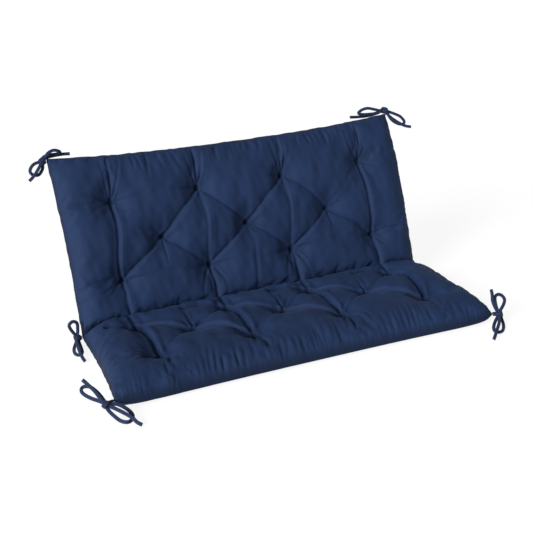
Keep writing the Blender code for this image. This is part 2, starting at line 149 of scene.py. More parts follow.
def makeWeave(nodes, mapName, threads):
    # warp and weft as two crossed sine waves
    uv = addNode(nodes, "ShaderNodeUVMap", uv_map=mapName).outputs["UV"]
    parts = addNode(nodes, "ShaderNodeSeparateXYZ", Vector=uv)
    warp, weft = (addMath(nodes, "SINE", addMath(nodes, "MULTIPLY", parts.outputs[axis], threads * math.pi))
                  for axis in ("X", "Y"))
    over = addMath(nodes, "GREATER_THAN", addMath(nodes, "MULTIPLY", warp, weft), 0.0)
    under = addMath(nodes, "SUBTRACT", 1.0, over)
    warpPart = addMath(nodes, "MULTIPLY", addMath(nodes, "ABSOLUTE", warp), over)
    weftPart = addMath(nodes, "MULTIPLY", addMath(nodes, "ABSOLUTE", weft), under)
    return uv, parts, addMath(nodes, "ADD", warpPart, weftPart)


def makeCoverCloth(settings):
    material, nodes = newMaterial("navyCoverCloth")
    uv, parts, weave = makeWeave(nodes, "coverMap", settings["threads"])
    shades = addNode(nodes, "ShaderNodeTexNoise", Vector=uv, Scale=settings["shadeScale"], Detail=3.0,
                     Roughness=0.55).outputs["Fac"]
    stretched = addNode(nodes, "ShaderNodeMapping", Vector=uv, Scale=settings["slubStretch"])
    slubs = addNode(nodes, "ShaderNodeTexNoise", Vector=stretched.outputs["Vector"], Scale=1.0,
                    Detail=2.0, Roughness=0.6).outputs["Fac"]
    tone = addMath(nodes, "ADD", addMath(nodes, "MULTIPLY", shades, 1.0 - settings["slubShare"]),
                   addMath(nodes, "MULTIPLY", slubs, settings["slubShare"]))
    darkest, lightest = settings["toneSpan"]
    colour = addRamp(nodes, tone, [(darkest, settings["dark"]), (lightest, settings["light"])])
    # painted shade: the colour is darkened where the cloth is pulled in, in the folds, round the tufts and
    # along the crease and the seams
    paintedShade = addNode(nodes, "ShaderNodeAttribute", attribute_name="pulledIn").outputs["Fac"]
    shade = addRamp(nodes, paintedShade, [(0.0, (1.0, 1.0, 1.0)), (1.0, (settings["creaseDark"],) * 3)])
    smooth, coarse = settings["roughness"]
    slubBump = addNode(nodes, "ShaderNodeBump", Strength=0.35, Distance=settings["slubHeight"], Height=slubs)
    weaveBump = addNode(nodes, "ShaderNodeBump", Strength=0.5, Distance=settings["weaveHeight"],
                        Height=weave, Normal=slubBump.outputs["Normal"])
    setInputs(nodes["Principled BSDF"], {
        "Base Color": addShade(nodes, colour, shade),
        "Roughness": addRamp(nodes, shades, [(0.3, (smooth,) * 3), (0.7, (coarse,) * 3)]),
        "Sheen Weight": settings["sheen"],
        "Sheen Roughness": settings["sheenRoughness"],
        "Sheen Tint": settings["sheenTint"],
        "Specular IOR Level": settings["shine"],
        "Normal": weaveBump.outputs["Normal"],
    })
    return material


strapClothSettings = {
    "light": (0.0125, 0.0240, 0.0660),
    "dark": (0.0085, 0.0165, 0.0480),
    "thread": (0.0420, 0.0640, 0.1350),
    # the strap's edges are painted in shade, down to this share
    "edgeDark": 0.45,
    "threads": 900.0,
    "grainScale": 60.0,
    "stitches": 330.0,          # to the metre
    "stitchAt": 0.20,           # across the flat face, from either edge
    "stitchWidth": 0.05,
    "stitchGap": -0.3,
    "roughness": 0.70,
    "shine": 0.14,
    "sheen": 0.08,
    "sheenRoughness": 0.45,
    "weaveRelief": 0.35,
    "stitchRelief": 1.2,
    "relief": 0.00030,
}


def makeStrapCloth(settings):
    material, nodes = newMaterial("navyStrapCloth")
    uv, parts, weave = makeWeave(nodes, "strapMap", settings["threads"])
    # across is 0 at the strap's edges and 0.5 along its middle, so both faces have two rows of stitches
    across = addNode(nodes, "ShaderNodeAttribute", attribute_name="across").outputs["Fac"]
    fromRow = addMath(nodes, "ABSOLUTE", addMath(nodes, "SUBTRACT", across, settings["stitchAt"]))
    inRow = addMath(nodes, "LESS_THAN", fromRow, settings["stitchWidth"])
    turns = settings["stitches"] * 2.0 * math.pi
    beat = addMath(nodes, "SINE", addMath(nodes, "MULTIPLY", parts.outputs["Y"], turns))
    stitch = addMath(nodes, "MULTIPLY", inRow, addMath(nodes, "GREATER_THAN", beat, settings["stitchGap"]))
    grain = addNode(nodes, "ShaderNodeTexNoise", Vector=uv, Scale=settings["grainScale"], Detail=3.0,
                    Roughness=0.6).outputs["Fac"]
    colour = addRamp(nodes, grain, [(0.35, settings["dark"]), (0.65, settings["light"])])
    # painted shade at the strap's edges
    shade = addRamp(nodes, across, [(0.02, (settings["edgeDark"],) * 3), (0.14, (1.0, 1.0, 1.0))])
    mix = addNode(nodes, "ShaderNodeMix", data_type="RGBA", Factor=stitch,
                  A=addShade(nodes, colour, shade), B=(*settings["thread"], 1.0))
    height = addMath(nodes, "ADD", addMath(nodes, "MULTIPLY", weave, settings["weaveRelief"]),
                     addMath(nodes, "MULTIPLY", stitch, settings["stitchRelief"]))
    bump = addNode(nodes, "ShaderNodeBump", Strength=0.6, Distance=settings["relief"], Height=height)
    setInputs(nodes["Principled BSDF"], {
        "Base Color": mix.outputs["Result"],
        "Roughness": settings["roughness"],
        "Sheen Weight": settings["sheen"],
        "Sheen Roughness": settings["sheenRoughness"],
        "Specular IOR Level": settings["shine"],
        "Normal": bump.outputs["Normal"],
    })
    return material


coverCloth = makeCoverCloth(clothSettings)
strapCloth = makeStrapCloth(strapClothSettings)
print("cloths woven")


# Ties: two flat straps at each corner, sewn in at the seam and tied in a bow
strapSettings = {
    "width": 0.0105,
    "thickness": 0.0048,
    "girth": 0.026,
    "squareness": 0.75,         # 1 would be an oval, less is squarer
    "ringPoints": 12,
    "step": 0.003,
    "routeParts": 16,
    "turning": 0.35,            # how much of a wanted turn the flat face takes at each step
    "sewingGap": 0.0010,
    "fromSeam": 0.006,
    "rootSpread": 0.0030,       # the two sewn ends lie side by side
    "rootWay": (0.0, 0.6, 0.8),
    "rootShare": 0.4,
    "knotShare": 0.6,
    "faces": (-0.35, -0.80, 0.45),
}

def inMetres(table):
    # the tables are in millimetres, and their shares in thousandths
    if isinstance(table, dict):
        return {name: inMetres(part) for name, part in table.items()}
    if isinstance(table, (list, tuple)):
        return tuple(inMetres(part) for part in table)
    return table / 1000.0 if isinstance(table, (int, float)) else table


# Each bow: its corner, then places from that corner
bows = inMetres({
    "top_left": {
        "corner": (-597.8, 335.2, 540.6), "knot": (-14, -4, -6),
        "loops": [
            [(-3, -1, 5), (8, 3, 16), (25, 6, 22), (40, 8, 18), (47, 10, 11), (36, 12, 7), (12, 14, 7),
             (-6, 11, 3)],
            [(-24, -5, -6), (-43, -7, -12), (-55, -11, -27), (-50, -14, -40), (-33, -15, -44),
             (-21, -13, -34), (-15, -10, -22)],
        ],
        "tails": [
            [(-8, 12, -4), (14, 20, 0), (50, 18, 3), (77, 12, 3)],
            [(-21, -12, -13), (-34, -20, -28), (-49, -27, -43), (-64, -30, -55)],
        ],
    },
    "top_right": {
        "corner": (604.2, 335.2, 540.6), "knot": (2, 9, 9),
        "loops": [
            [(-18, 10, 11), (-42, 13, 18), (-64, 15, 23), (-87, 13, 20), (-102, 10, 11), (-86, 9, 5),
             (-60, 9, 3), (-34, 9, 3)],
            [(20, 4, 2), (39, 1, -6), (59, -5, -17), (72, -11, -34), (66, -14, -43), (48, -13, -41),
             (24, -6, -25)],
        ],
        "tails": [
            [(-22, 18, 0), (-60, 19, -5), (-100, 13, -3), (-136, 8, 1)],
            [(14, -3, -9), (36, -12, -28), (66, -22, -47), (93, -23, -55)],
        ],
    },
    "crease_left": {
        "corner": (-588.8, 127.3, 15), "knot": (-16, -8, 5),
        "loops": [
            [(-22, -9, 17), (-34, -10, 39), (-37, -10, 55), (-25, -10, 64), (-13, -11, 56),
             (-13, -11, 35), (-15, -10, 18)],
            [(-25, -22, -3), (-38, -50, -9), (-42, -82, -9), (-34, -98, -9), (-22, -88, -9),
             (-17, -58, -9), (-16, -28, -3)],
        ],
        "tails": [
            [(-14, 8, 1), (-10, 26, -6), (-6, 46, -9)],
            [(-24, -30, 5), (-28, -64, 3), (-30, -98, 0), (-29, -125, -7), (-27, -146, -9)],
        ],
    },
    "crease_right": {
        "corner": (603.2, 127.3, 30), "knot": (16, 8, -8),
        "loops": [
            [(13, 14, 6), (2, 26, 22), (-10, 44, 29), (-18, 60, 20), (-12, 58, 4), (2, 34, -6)],
            [(16, 24, -16), (6, 50, -24), (-8, 78, -24), (-26, 80, -24), (-26, 58, -24), (-8, 32, -20)],
        ],
        "tails": [
            [(6, 30, -16), (-14, 56, -14), (-40, 74, -21), (-58, 84, -24)],
            [(18, 20, -14), (14, 40, -24), (2, 64, -14), (-4, 96, -23), (-10, 116, -24)],
        ],
    },
    "front_left": {
        "corner": (-609.8, -339.7, 30), "knot": (-24, -8, 0),
        "loops": [
            [(-33, 4, 5), (-54, 28, 9), (-68, 48, 14), (-73, 62, 20), (-66, 70, 26), (-50, 60, 28),
             (-37, 34, 22), (-27, 6, 9)],
            [(-24, -24, -6), (-15, -50, -14), (-2, -68, -23), (14, -80, -24), (30, -66, -24),
             (33, -46, -20), (20, -30, -8), (0, -18, 2)],
        ],
        "tails": [
            [(-34, 6, 13), (-43, 32, 27), (-55, 56, 38), (-65, 70, 48)],
            [(-12, -24, -2), (8, -48, -9), (25, -78, -14), (34, -95, -22), (43, -108, -25)],
        ],
    },
    "front_right": {
        "corner": (608.2, -339.7, 30), "knot": (21, -6, -2),
        "loops": [
            [(29, 0, 8), (45, 8, 20), (53, 14, 34), (46, 19, 47), (31, 20, 54), (19, 18, 48),
             (16, 10, 30), (18, 2, 12)],
            [(21, -18, -12), (15, -36, -21), (3, -54, -24), (-15, -72, -24), (-30, -74, -24),
             (-34, -58, -24), (-20, -36, -19), (2, -18, -9)],
        ],
        "tails": [
            [(14, 4, 14), (7, 13, 38), (7, 17, 58), (4, 20, 76)],
            [(10, -22, -6), (-12, -50, -9), (-36, -74, -14), (-56, -93, -21), (-72, -108, -24)],
        ],
    },
})


def smoothRoute(points, settings):
    # even steps on a smooth curve through the route's own points
    route = [Vector(point) for point in points]
    route = [2.0 * route[0] - route[1]] + route + [2.0 * route[-1] - route[-2]]
    dense = []
    for before, start, end, after in zip(route, route[1:], route[2:], route[3:]):
        for part in range(settings["routeParts"]):
            t = part / settings["routeParts"]
            dense.append(0.5 * (
                2.0 * start + (end - before) * t
                + (2.0 * before - 5.0 * start + 4.0 * end - after) * t ** 2
                + (3.0 * start - before - 3.0 * end + after) * t ** 3
            ))
    dense.append(route[-2])
    lengths = [0.0]
    for a, b in zip(dense, dense[1:]):
        lengths.append(lengths[-1] + (b - a).length)
    steps = max(round(lengths[-1] / settings["step"]), 2)
    evened = []
    index = 0
    for number in range(steps + 1):
        wanted = lengths[-1] * number / steps
        while index < len(lengths) - 2 and lengths[index + 1] < wanted:
            index += 1
        share = (wanted - lengths[index]) / max(lengths[index + 1] - lengths[index], 1e-9)
        evened.append(dense[index].lerp(dense[index + 1], share))
    return evened


def widthDirections(points, facing, turning):
    # across the strap, so that its flat face looks towards facing where it can
    directions = []
    for number in range(len(points)):
        along = points[min(number + 1, len(points) - 1)] - points[max(number - 1, 0)]
        across = along.normalized().cross(facing)
        if directions:
            across = across * (1.0 if across.dot(directions[-1]) >= 0.0 else -1.0)
            across = across * turning + directions[-1] * (1.0 - turning)
        across -= along.normalized() * across.dot(along.normalized())
        directions.append(across.normalized())
    return directions


def newStrapMesh():
    mesh = bmesh.new()
    mesh.loops.layers.uv.new("strapMap")
    mesh.verts.layers.float.new("across")
    return mesh


def ringEdges(mesh, ring):
    return [mesh.edges.get(pair) for pair in zip(ring, ring[1:] + ring[:1])]


def sweepStrap(mesh, points, directions, section, closed=False):
    # a flattened ring is extruded from point to point
    ring = bmesh.ops.create_circle(mesh, segments=section["ringPoints"], radius=0.5)["verts"]
    rings = [ring]
    edges = [edge for edge in mesh.edges if edge.verts[0] in ring and edge.verts[1] in ring]
    flat = [vert.co.copy() for vert in ring]
    for number, point in enumerate(points):
        if number:
            extruded = bmesh.ops.extrude_edge_only(mesh, edges=edges)["geom"]
            ring = [None] * section["ringPoints"]
            for vert in extruded:
                if isinstance(vert, bmesh.types.BMVert):
                    others = [edge.other_vert(vert) for edge in vert.link_edges]
                    below = [other for other in others if other in rings[-1]]
                    ring[rings[-1].index(below[0])] = vert
            edges = ringEdges(mesh, ring)
            rings.append(ring)
        if closed:
            along = points[(number + 1) % len(points)] - points[number - 1]
        else:
            along = points[min(number + 1, len(points) - 1)] - points[max(number - 1, 0)]
        outward = along.normalized().cross(directions[number])
        for vert, shape in zip(ring, flat):
            squared = 0.5 * Vector([
                math.copysign(abs(2.0 * part) ** section["squareness"], part) for part in shape])
            aside = directions[number] * squared.x * section["width"]
            vert.co = point + aside + outward * squared.y * section["thickness"]
    if closed:
        bmesh.ops.bridge_loops(mesh, edges=ringEdges(mesh, rings[0]) + ringEdges(mesh, rings[-1]))
    else:
        for loop in (rings[0], rings[-1]):
            mesh.faces.new(loop)
    acrossLayer = mesh.verts.layers.float["across"]
    reached = 0.0
    heights = {}
    for number, loop in enumerate(rings):
        if number:
            reached += (points[number] - points[number - 1]).length
        for place, vert in enumerate(loop):
            heights[vert] = (place / section["ringPoints"], reached)
            vert[acrossLayer] = 0.5 - abs(flat[place].x)
    return heights


def finishStrap(name, mesh, heights, material):
    uvLayer = mesh.loops.layers.uv["strapMap"]
    for face in mesh.faces:
        shares = [heights[loop.vert][0] for loop in face.loops if loop.vert in heights]
        wraps = bool(shares) and max(shares) - min(shares) > 0.5
        for loop in face.loops:
            share, along = heights.get(loop.vert, (0.0, 0.0))
            if wraps and share < 0.5:
                share += 1.0
            loop[uvLayer].uv = (share * strapSettings["girth"], along)
    bmesh.ops.recalc_face_normals(mesh, faces=mesh.faces)
    data = bpy.data.meshes.new(name)
    mesh.to_mesh(data)
    mesh.free()
    data.materials.append(material)
    data.shade_smooth()
    piece = bpy.data.objects.new(name, data)
    bpy.context.scene.collection.objects.link(piece)
    return piece


def makeStrap(name, points, settings, material):
    mesh = newStrapMesh()
    directions = widthDirections(points, Vector(settings["faces"]).normalized(), settings["turning"])
    heights = sweepStrap(mesh, points, directions, settings)
    return finishStrap(name, mesh, heights, material)


knotSettings = {
    "core": (0.019, 0.016, 0.018),
    "faces": (0.2, -0.9, 0.4),
    "wrap": {"width": 0.0125, "thickness": 0.0042, "squareness": 0.75, "ringPoints": 12},
    "wrapRadius": 0.0100,
    "wrapPoints": 24,
    "wrapDepth": 0.92,          # front to back, as a share of the radius
    "turns": ((0.5, 1.0), (-0.45, 0.88)),       # tilt and size
    "turnGap": 0.0022,
}


def makeKnot(name, centre, axis, settings, material):
    # two turns of the strap round the crossing, over a soft core
    mesh = newStrapMesh()
    side = axis.cross(Vector(settings["faces"])).normalized()
    front = side.cross(axis).normalized()
    radius = settings["wrapRadius"]
    count = settings["wrapPoints"]
    heights = {}
    for turn, (tilt, size) in enumerate(settings["turns"]):
        points = []
        for number in range(count):
            angle = 2.0 * math.pi * number / count
            slant = math.sin(angle) * tilt * radius
            points.append(centre + side * math.cos(angle) * radius * size
                          + front * math.sin(angle) * radius * settings["wrapDepth"] * size
                          + axis * (slant + (turn - 0.5) * settings["turnGap"]))
        directions = []
        for number in range(count):
            along = (points[(number + 1) % count] - points[number - 1]).normalized()
            across = axis - along * axis.dot(along)
            directions.append(across.normalized())
        heights.update(sweepStrap(mesh, points, directions, settings["wrap"], closed=True))
    core = bmesh.ops.create_uvsphere(mesh, u_segments=16, v_segments=12, radius=0.5)["verts"]
    bmesh.ops.scale(mesh, verts=core, vec=settings["core"])
    bmesh.ops.translate(mesh, verts=core, vec=centre)
    return finishStrap(name, mesh, heights, material)


def makeBow(name, bow, settings):
    corner = Vector(bow["corner"])
    outwards = Vector((math.copysign(1.0, corner.x), 0.0, 0.0))
    knotAt = Vector(bow["knot"])
    straps = []
    for number, (loop, tail) in enumerate(zip(bow["loops"], reversed(bow["tails"]))):
        spread = Vector(settings["rootWay"]) * settings["rootSpread"] * (number - 0.5)
        root = outwards * settings["sewingGap"]
        beside = root + outwards * settings["fromSeam"] + spread
        inKnot = knotAt + spread * settings["knotShare"]
        route = [root + spread * settings["rootShare"], beside, inKnot]
        route += [Vector(point) for point in loop]
        route += [knotAt - spread * settings["knotShare"]] + [Vector(point) for point in tail]
        points = [corner + place for place in smoothRoute(route, settings)]
        strap = makeStrap(f"strap_{name}_{number + 1}", points, settings, strapCloth)
        straps.append((strap, points))
    ways = [(Vector(loop[1]) - knotAt).normalized() for loop in bow["loops"]]
    axis = (ways[1] - ways[0]).normalized()
    knot = makeKnot(f"knot_{name}", corner + knotAt, axis, knotSettings, strapCloth)
    for piece in [knot] + [strap for strap, points in straps]:
        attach(piece, "root")
        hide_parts(f"tie_{name}")


for bowName, bow in bows.items():
    makeBow(bowName, bow, strapSettings)
print("bows tied")


# The cover: its outline, filling and tufts, as in the solids
cover = {
    "leftHalfWidth": {"front": 0.612, "crease": 0.591, "top": 0.600},
    "rightHalfWidth": {"front": 0.606, "crease": 0.601, "top": 0.602},
    "leftDraw": {"seat": -0.001, "back": 0.006},
    "rightDraw": {"seat": 0.000, "back": -0.006},
    "rightNotch": (0.022, -0.055, 0.045, 0.023),        # depth, place, spread, start
    "seatDepth": 0.467,
    "seatCornerReach": 0.014,
    "seatCornerPowers": (3, 20),
    "backHeight": 0.532,
    "cornerEar": 0.023,
    "earPower": 2.5,
    "backLean": math.radians(22.0),
    "creaseZ": 0.026,
    "creaseEndZ": (0.015, 0.030),
    "creaseEndPower": 4,
    "frontSeamZ": 0.013,
    "frontCornerZ": 0.030,
    "frontCornerPower": 14,
    "seam": 0.003,
    "seatCrown": 0.068,
    "backCrown": 0.052,
    "rearCrown": 0.042,
    "creaseFloor": 0.024,
    "seatCreaseRound": 0.028,
    "backCreaseRound": 0.012,
    "foldBlend": 0.060,
    "heelBulge": (0.012, 0.022, 0.016),         # height, place, spread
    "toOrigin": (0.0022, 0.1273, 0.0),
    "columns": 200,
    "seatRows": 78,
    "backRows": 92,
    "lowerColumns": 100,
    "lowerSeatRows": 39,
    "lowerBackRows": 46,
    "easing": 0.18,
}

# Tufts, all of them stitched through: x and the distance from the crease, up the back or out along the seat
tufts = inMetres({
    "T1": (-432, 390), "T2": (-145, 394), "T3": (154, 393), "T4": (448, 401),
    "M1": (-287, 257), "M2": (4, 258), "M3": (297, 259),
    "B1": (-441, 144), "B2": (-148, 142), "B3": (144, 143), "B4": (449, 142),
    "R1": (-440, -106), "R2": (-142, -106), "R3": (147, -101), "R4": (451, -103),
    "S1": (-290, -196), "S2": (9, -198), "S3": (306, -194),
    "F1": (-432, -318), "F2": (-142, -316), "F3": (159, -313), "F4": (447, -322),
})
tuftSettings = {
    "pull": {"seat": 0.50, "back": 0.64, "rear": 0.55},
    "spread": 0.052,
    "power": 1.15,
    "underDimple": 0.014,
    "underRadius": 0.026,
    "rearRow": -0.12,           # the seat's tufts behind this pull less far rearwards
    "rearStretch": 1.5,
}

# Main creases: from, to, bow and sway to the left of the way, half width, share cut from the
# filling, depth of the fine fold, and the roll beside it: how far to the left, half width, height
mainCreases = inMetres([
    ("T1", "B1", 1.5, 5, 16, 270, 4.4, (12, 6, 4)),
    ("T4", "B4", 4, -2, 16, 270, 4.4, (12, 6, 3.6)),
    ("T2", "M1", 0, 0, 14, 320, 3, (5, 2.8, 1.9)),
    ("T2", "M1", 9.5, 0, 14, 0, 1.8, None),
    ("M1", "B1", 0, 0, 14, 280, 2.6, (8, 4.5, 1.2)),
    ("T3", "M2", 0, 0, 14, 320, 3, (5, 2.8, 1.9)),
    ("T3", "M2", 9.5, 0, 14, 0, 1.8, None),
    ("M2", "B2", 0, 0, 14, 280, 2.6, (8, 4.5, 1.2)),
    ("M3", "B3", 0, 0, 14, 280, 2.6, (8, 4.5, 1.2)),
    ("T2", "M2", 3, 0, 14, 200, 2.1, (-7, 4, 1)),
    ("T3", "M3", 10, 0, 14, 240, 2.6, (6.5, 4, 1)),
    ("M3", "B4", 3, 0, 14, 240, 2.6, (6.5, 4, 1)),
    ("M1", "B2", 0, 0, 13, 220, 1.9, None),
    ("M2", "B3", 3, 0, 13, 210, 1.8, None),
    ("T2", "B2", 8, 4, 14, 140, 1.9, (9, 5.5, 2)),
    ("T2", "B2", 23, 4, 14, 0, 1.3, None),
    ("T3", "B3", 7, 3, 14, 140, 1.9, (9, 5.5, 2)),
    ("T3", "B3", 22, 4, 14, 0, 1.3, None),
    ("B1", "B2", 6, 0, 12, 60, 0.4, None),
    ("B3", "B4", 8, 0, 12, 60, 0.4, None),
    ("T1", "T2", 8, 0, 12, 40, 0.3, None),
    ("B1", (-438, 4), 2, 0, 13, 200, 2.2, (10, 5.5, 2.2)),
    ("B4", (450, 4), 4, 0, 13, 200, 2.2, (10, 5.5, 2.2)),
    ("B2", (-146, 10), 4, 0, 14, 200, 2, (7, 4, 1.7)),
    ("B3", (150, 10), 4, 0, 14, 200, 2, (7, 4, 1.7)),
    ("R1", (-445, -10), 4, 0, 13, 200, 2.2, (-10, 6, 2.2)),
    ("R2", (-140, -10), 6, 0, 13, 200, 2.2, (-10, 6, 2.2)),
    ("R3", (155, -10), 6, 0, 13, 200, 2.2, (-10, 6, 2.2)),
    ("R4", (456, -10), 6, 0, 13, 200, 2.2, (-10, 6, 2.2)),
    ("R1", "F1", 2, 0, 16, 620, 7.5, (11, 5.5, 6.2)),
    ("R2", "F2", 5, 0, 15, 550, 7.2, (9.5, 4.8, 5.2)),
    ("R3", "F3", 3, 0, 15, 550, 7.2, (9.5, 4.8, 5.2)),
    ((483, -117), "F4", 10, 0, 16, 620, 7.8, (11, 5.5, 6)),
    ("R4", (483, -117), 4, 0, 13, 300, 2.4, None),
    ("R1", "S1", -6, 0, 15, 580, 7.2, (6.2, 3.2, 4.2)),
    ("R2", "S1", 0, 0, 15, 240, 2.4, None),
    ("R2", "S2", 0, 0, 15, 580, 7.2, (6.2, 3.2, 4.2)),
    ("R3", "S2", 0, 0, 15, 240, 2.4, None),
    ("R3", "S3", -6, 0, 15, 580, 7.2, (6.2, 3.2, 4.2)),
    ("R4", "S3", 0, 0, 15, 240, 2.4, None),
    ("S1", "F1", 0, 0, 14, 150, 1.2, None),
    ("S1", "F2", 16, 0, 14, 480, 6.6, (5.8, 3, 4)),
    ("S2", "F2", 0, 0, 14, 180, 1.8, None),
    ("S2", "F3", 6, 0, 14, 540, 6.6, (5.8, 3, 4)),
    ("S3", "F3", 0, 0, 14, 180, 1.8, None),
    ("S3", "F4", 8, 0, 14, 540, 6.2, (5.8, 3, 3.6)),
    ((-535, -100), "R1", 6, 0, 12, 280, 3.6, (7, 4, 2)),
    ((-290, -86), "R2", 13, 0, 14, 420, 5.4, (8, 4.5, 3.4)),
    ((5, -84), "R3", 13, 0, 14, 420, 5.4, (8, 4.5, 3.4)),
    ((312, -80), "R4", 13, 0, 14, 400, 5, (8, 4.5, 3)),
])

# a crease's pillows, as shares of its half width: gentle on its right, steep on its left
creaseShape = {"seat": (2.0, 0.75), "back": (1.20, 0.80)}

# the filling and the folds end this far short of the sewn crease, in front of it and above it
pillowClear = (0.035, 0.012)
foldClear = (0.020, 0.008)
clearFade = 0.030

# Folds that fan out from each tuft: to, bow to the left of the way, depth, half width
fanFolds = inMetres({
    "T1": [((-446, 492), 3, 2.2, 2.9), ((-424, 522), -3, 3.6, 2.9), ((-385, 517), -5, 3.6, 3.1),
           ((-512, 358), -4, 2.4, 4.6), ((-505, 430), 0, 2.4, 5.5), ((-562, 450), 4, 1.4, 5.5),
           ((-400, 385), 0, 2.2, 2.8), ((-325, 402), -3, 1.8, 2.9)],
    "T2": [((-178, 518), 3, 2.8, 3.1), ((-142, 520), -2, 4, 3.1), ((-113, 518), -6, 4, 3.1),
           ((-242, 405), 0, 2.6, 3.5), ((-225, 390), 0, 1.6, 3.9)],
    "T3": [((124, 514), 4, 3, 3.1), ((149, 517), -3, 4.2, 3.1), ((181, 516), -6, 3.6, 3.3),
           ((198, 512), -8, 2, 3.9), ((90, 400), 0, 2.2, 4.6)],
    "T4": [((407, 516), 14, 2.8, 3.5), ((441, 517), -2, 3.8, 2.9), ((458, 500), -2, 3, 2.8),
           ((472, 436), 0, 2.4, 2.9), ((510, 372), 0, 2, 3.3), ((385, 410), 0, 2, 5.5)],
    "M1": [((-289, 160), -2, 3, 3.1), ((-262, 224), 0, 2.4, 2.9), ((-350, 262), 0, 2.2, 4.6),
           ((-332, 305), 0, 1.8, 5.5)],
    "M2": [((62, 224), 3, 3, 2.9), ((34, 210), 0, 2.2, 2.8), ((2, 200), 0, 2, 3.3),
           ((-50, 268), 0, 1.6, 5.1)],
    "M3": [((380, 277), 3, 2.4, 2.9), ((345, 258), 0, 1.8, 3.1), ((297, 182), 3, 3, 3.1),
           ((240, 268), 0, 2, 5.1)],
    "B1": [((-516, 113), 0, 2.8, 3.5), ((-488, 106), 0, 2.8, 3.1), ((-528, 145), 0, 1.8, 4.6),
           ((-325, 146), 0, 2.4, 2.9)],
    "B2": [((-55, 144), 0, 2.6, 2.9), ((-240, 135), 0, 2.4, 5.5), ((-128, 33), -6, 2.8, 3.5),
           ((-106, 30), 14, 2.8, 3.9), ((-168, 30), 0, 2, 3.1), ((-198, 35), -10, 3, 3.9)],
    "B3": [((228, 148), 2, 2.6, 2.9), ((38, 134), 0, 2.2, 5.5), ((190, 40), 10, 3.2, 3.9),
           ((124, 46), -4, 2.6, 3.9), ((98, 35), -10, 2, 4.1)],
    "B4": [((492, 92), 0, 2.8, 2.9), ((512, 160), 0, 2.2, 3.3), ((385, 138), 0, 2.4, 5.5)],
    "R1": [((-515, -100), 2, 4.2, 3.9), ((-528, -146), 0, 4.5, 4.1)],
    "R2": [((-275, -90), 12, 7, 5.3), ((-208, -54), 0, 3.9, 3.9), ((-215, -118), 0, 3.6, 3.9)],
    "R3": [((18, -90), 12, 7, 5.3), ((85, -54), 0, 3.9, 3.9), ((75, -116), 0, 3.6, 3.9)],
    "R4": [((325, -85), 12, 7.6, 5.5), ((385, -60), 0, 3.4, 3.9)],
    "S1": [((-293, -110), -2, 5.3, 3.7), ((-278, -142), 0, 3.6, 3.4), ((-247, -168), 4, 4.5, 3.9),
           ((-316, -150), 0, 3.4, 3.4), ((-344, -206), 0, 3.9, 4.1)],
    "S2": [((3, -112), -3, 5.3, 3.7), ((-20, -162), 0, 4.2, 3.4), ((18, -150), 0, 3.4, 3.4),
           ((52, -146), 4, 4.5, 3.9), ((-46, -206), 0, 3.6, 4.1)],
    "S3": [((300, -114), -3, 5, 3.7), ((274, -168), 0, 3.9, 3.7), ((320, -162), 0, 3.4, 3.7),
           ((252, -204), 0, 3.4, 4.1)],
    "F1": [((-532, -296), -4, 5, 3.9), ((-516, -330), 0, 5, 4.1), ((-550, -316), 0, 2.8, 4.1),
           ((-398, -405), 16, 4.4, 3.8), ((-424, -432), 6, 4.6, 4), ((-446, -392), 0, 3.1, 3.4)],
    "F2": [((-310, -318), 0, 3.9, 4.4), ((-192, -294), 0, 4.2, 3.4), ((-205, -312), 0, 3.6, 3.2),
           ((-90, -262), 4, 4.2, 3.9), ((-118, -268), 0, 2.8, 3.4), ((-124, -443), 20, 3.6, 4.4),
           ((-148, -435), 10, 3.8, 3.9), ((-176, -415), 0, 3.6, 3.9)],
    "F3": [((20, -300), 0, 3.1, 3.7), ((55, -312), 0, 3.1, 3.4), ((112, -290), 0, 3.9, 3.4),
           ((206, -246), 4, 3.6, 3.7), ((182, -262), 0, 2.8, 3.4), ((112, -440), -4, 5.9, 4.1),
           ((140, -435), 6, 6.2, 4.1), ((178, -430), 14, 5.6, 4.1), ((208, -420), 22, 4.8, 3.9)],
    "F4": [((443, -420), 22, 4.8, 4.1), ((440, -390), 0, 3.6, 3.9), ((300, -330), -3, 3.1, 4.6),
           ((520, -296), 0, 2.5, 6.9), ((480, -336), 6, 3.9, 4.1)],
})

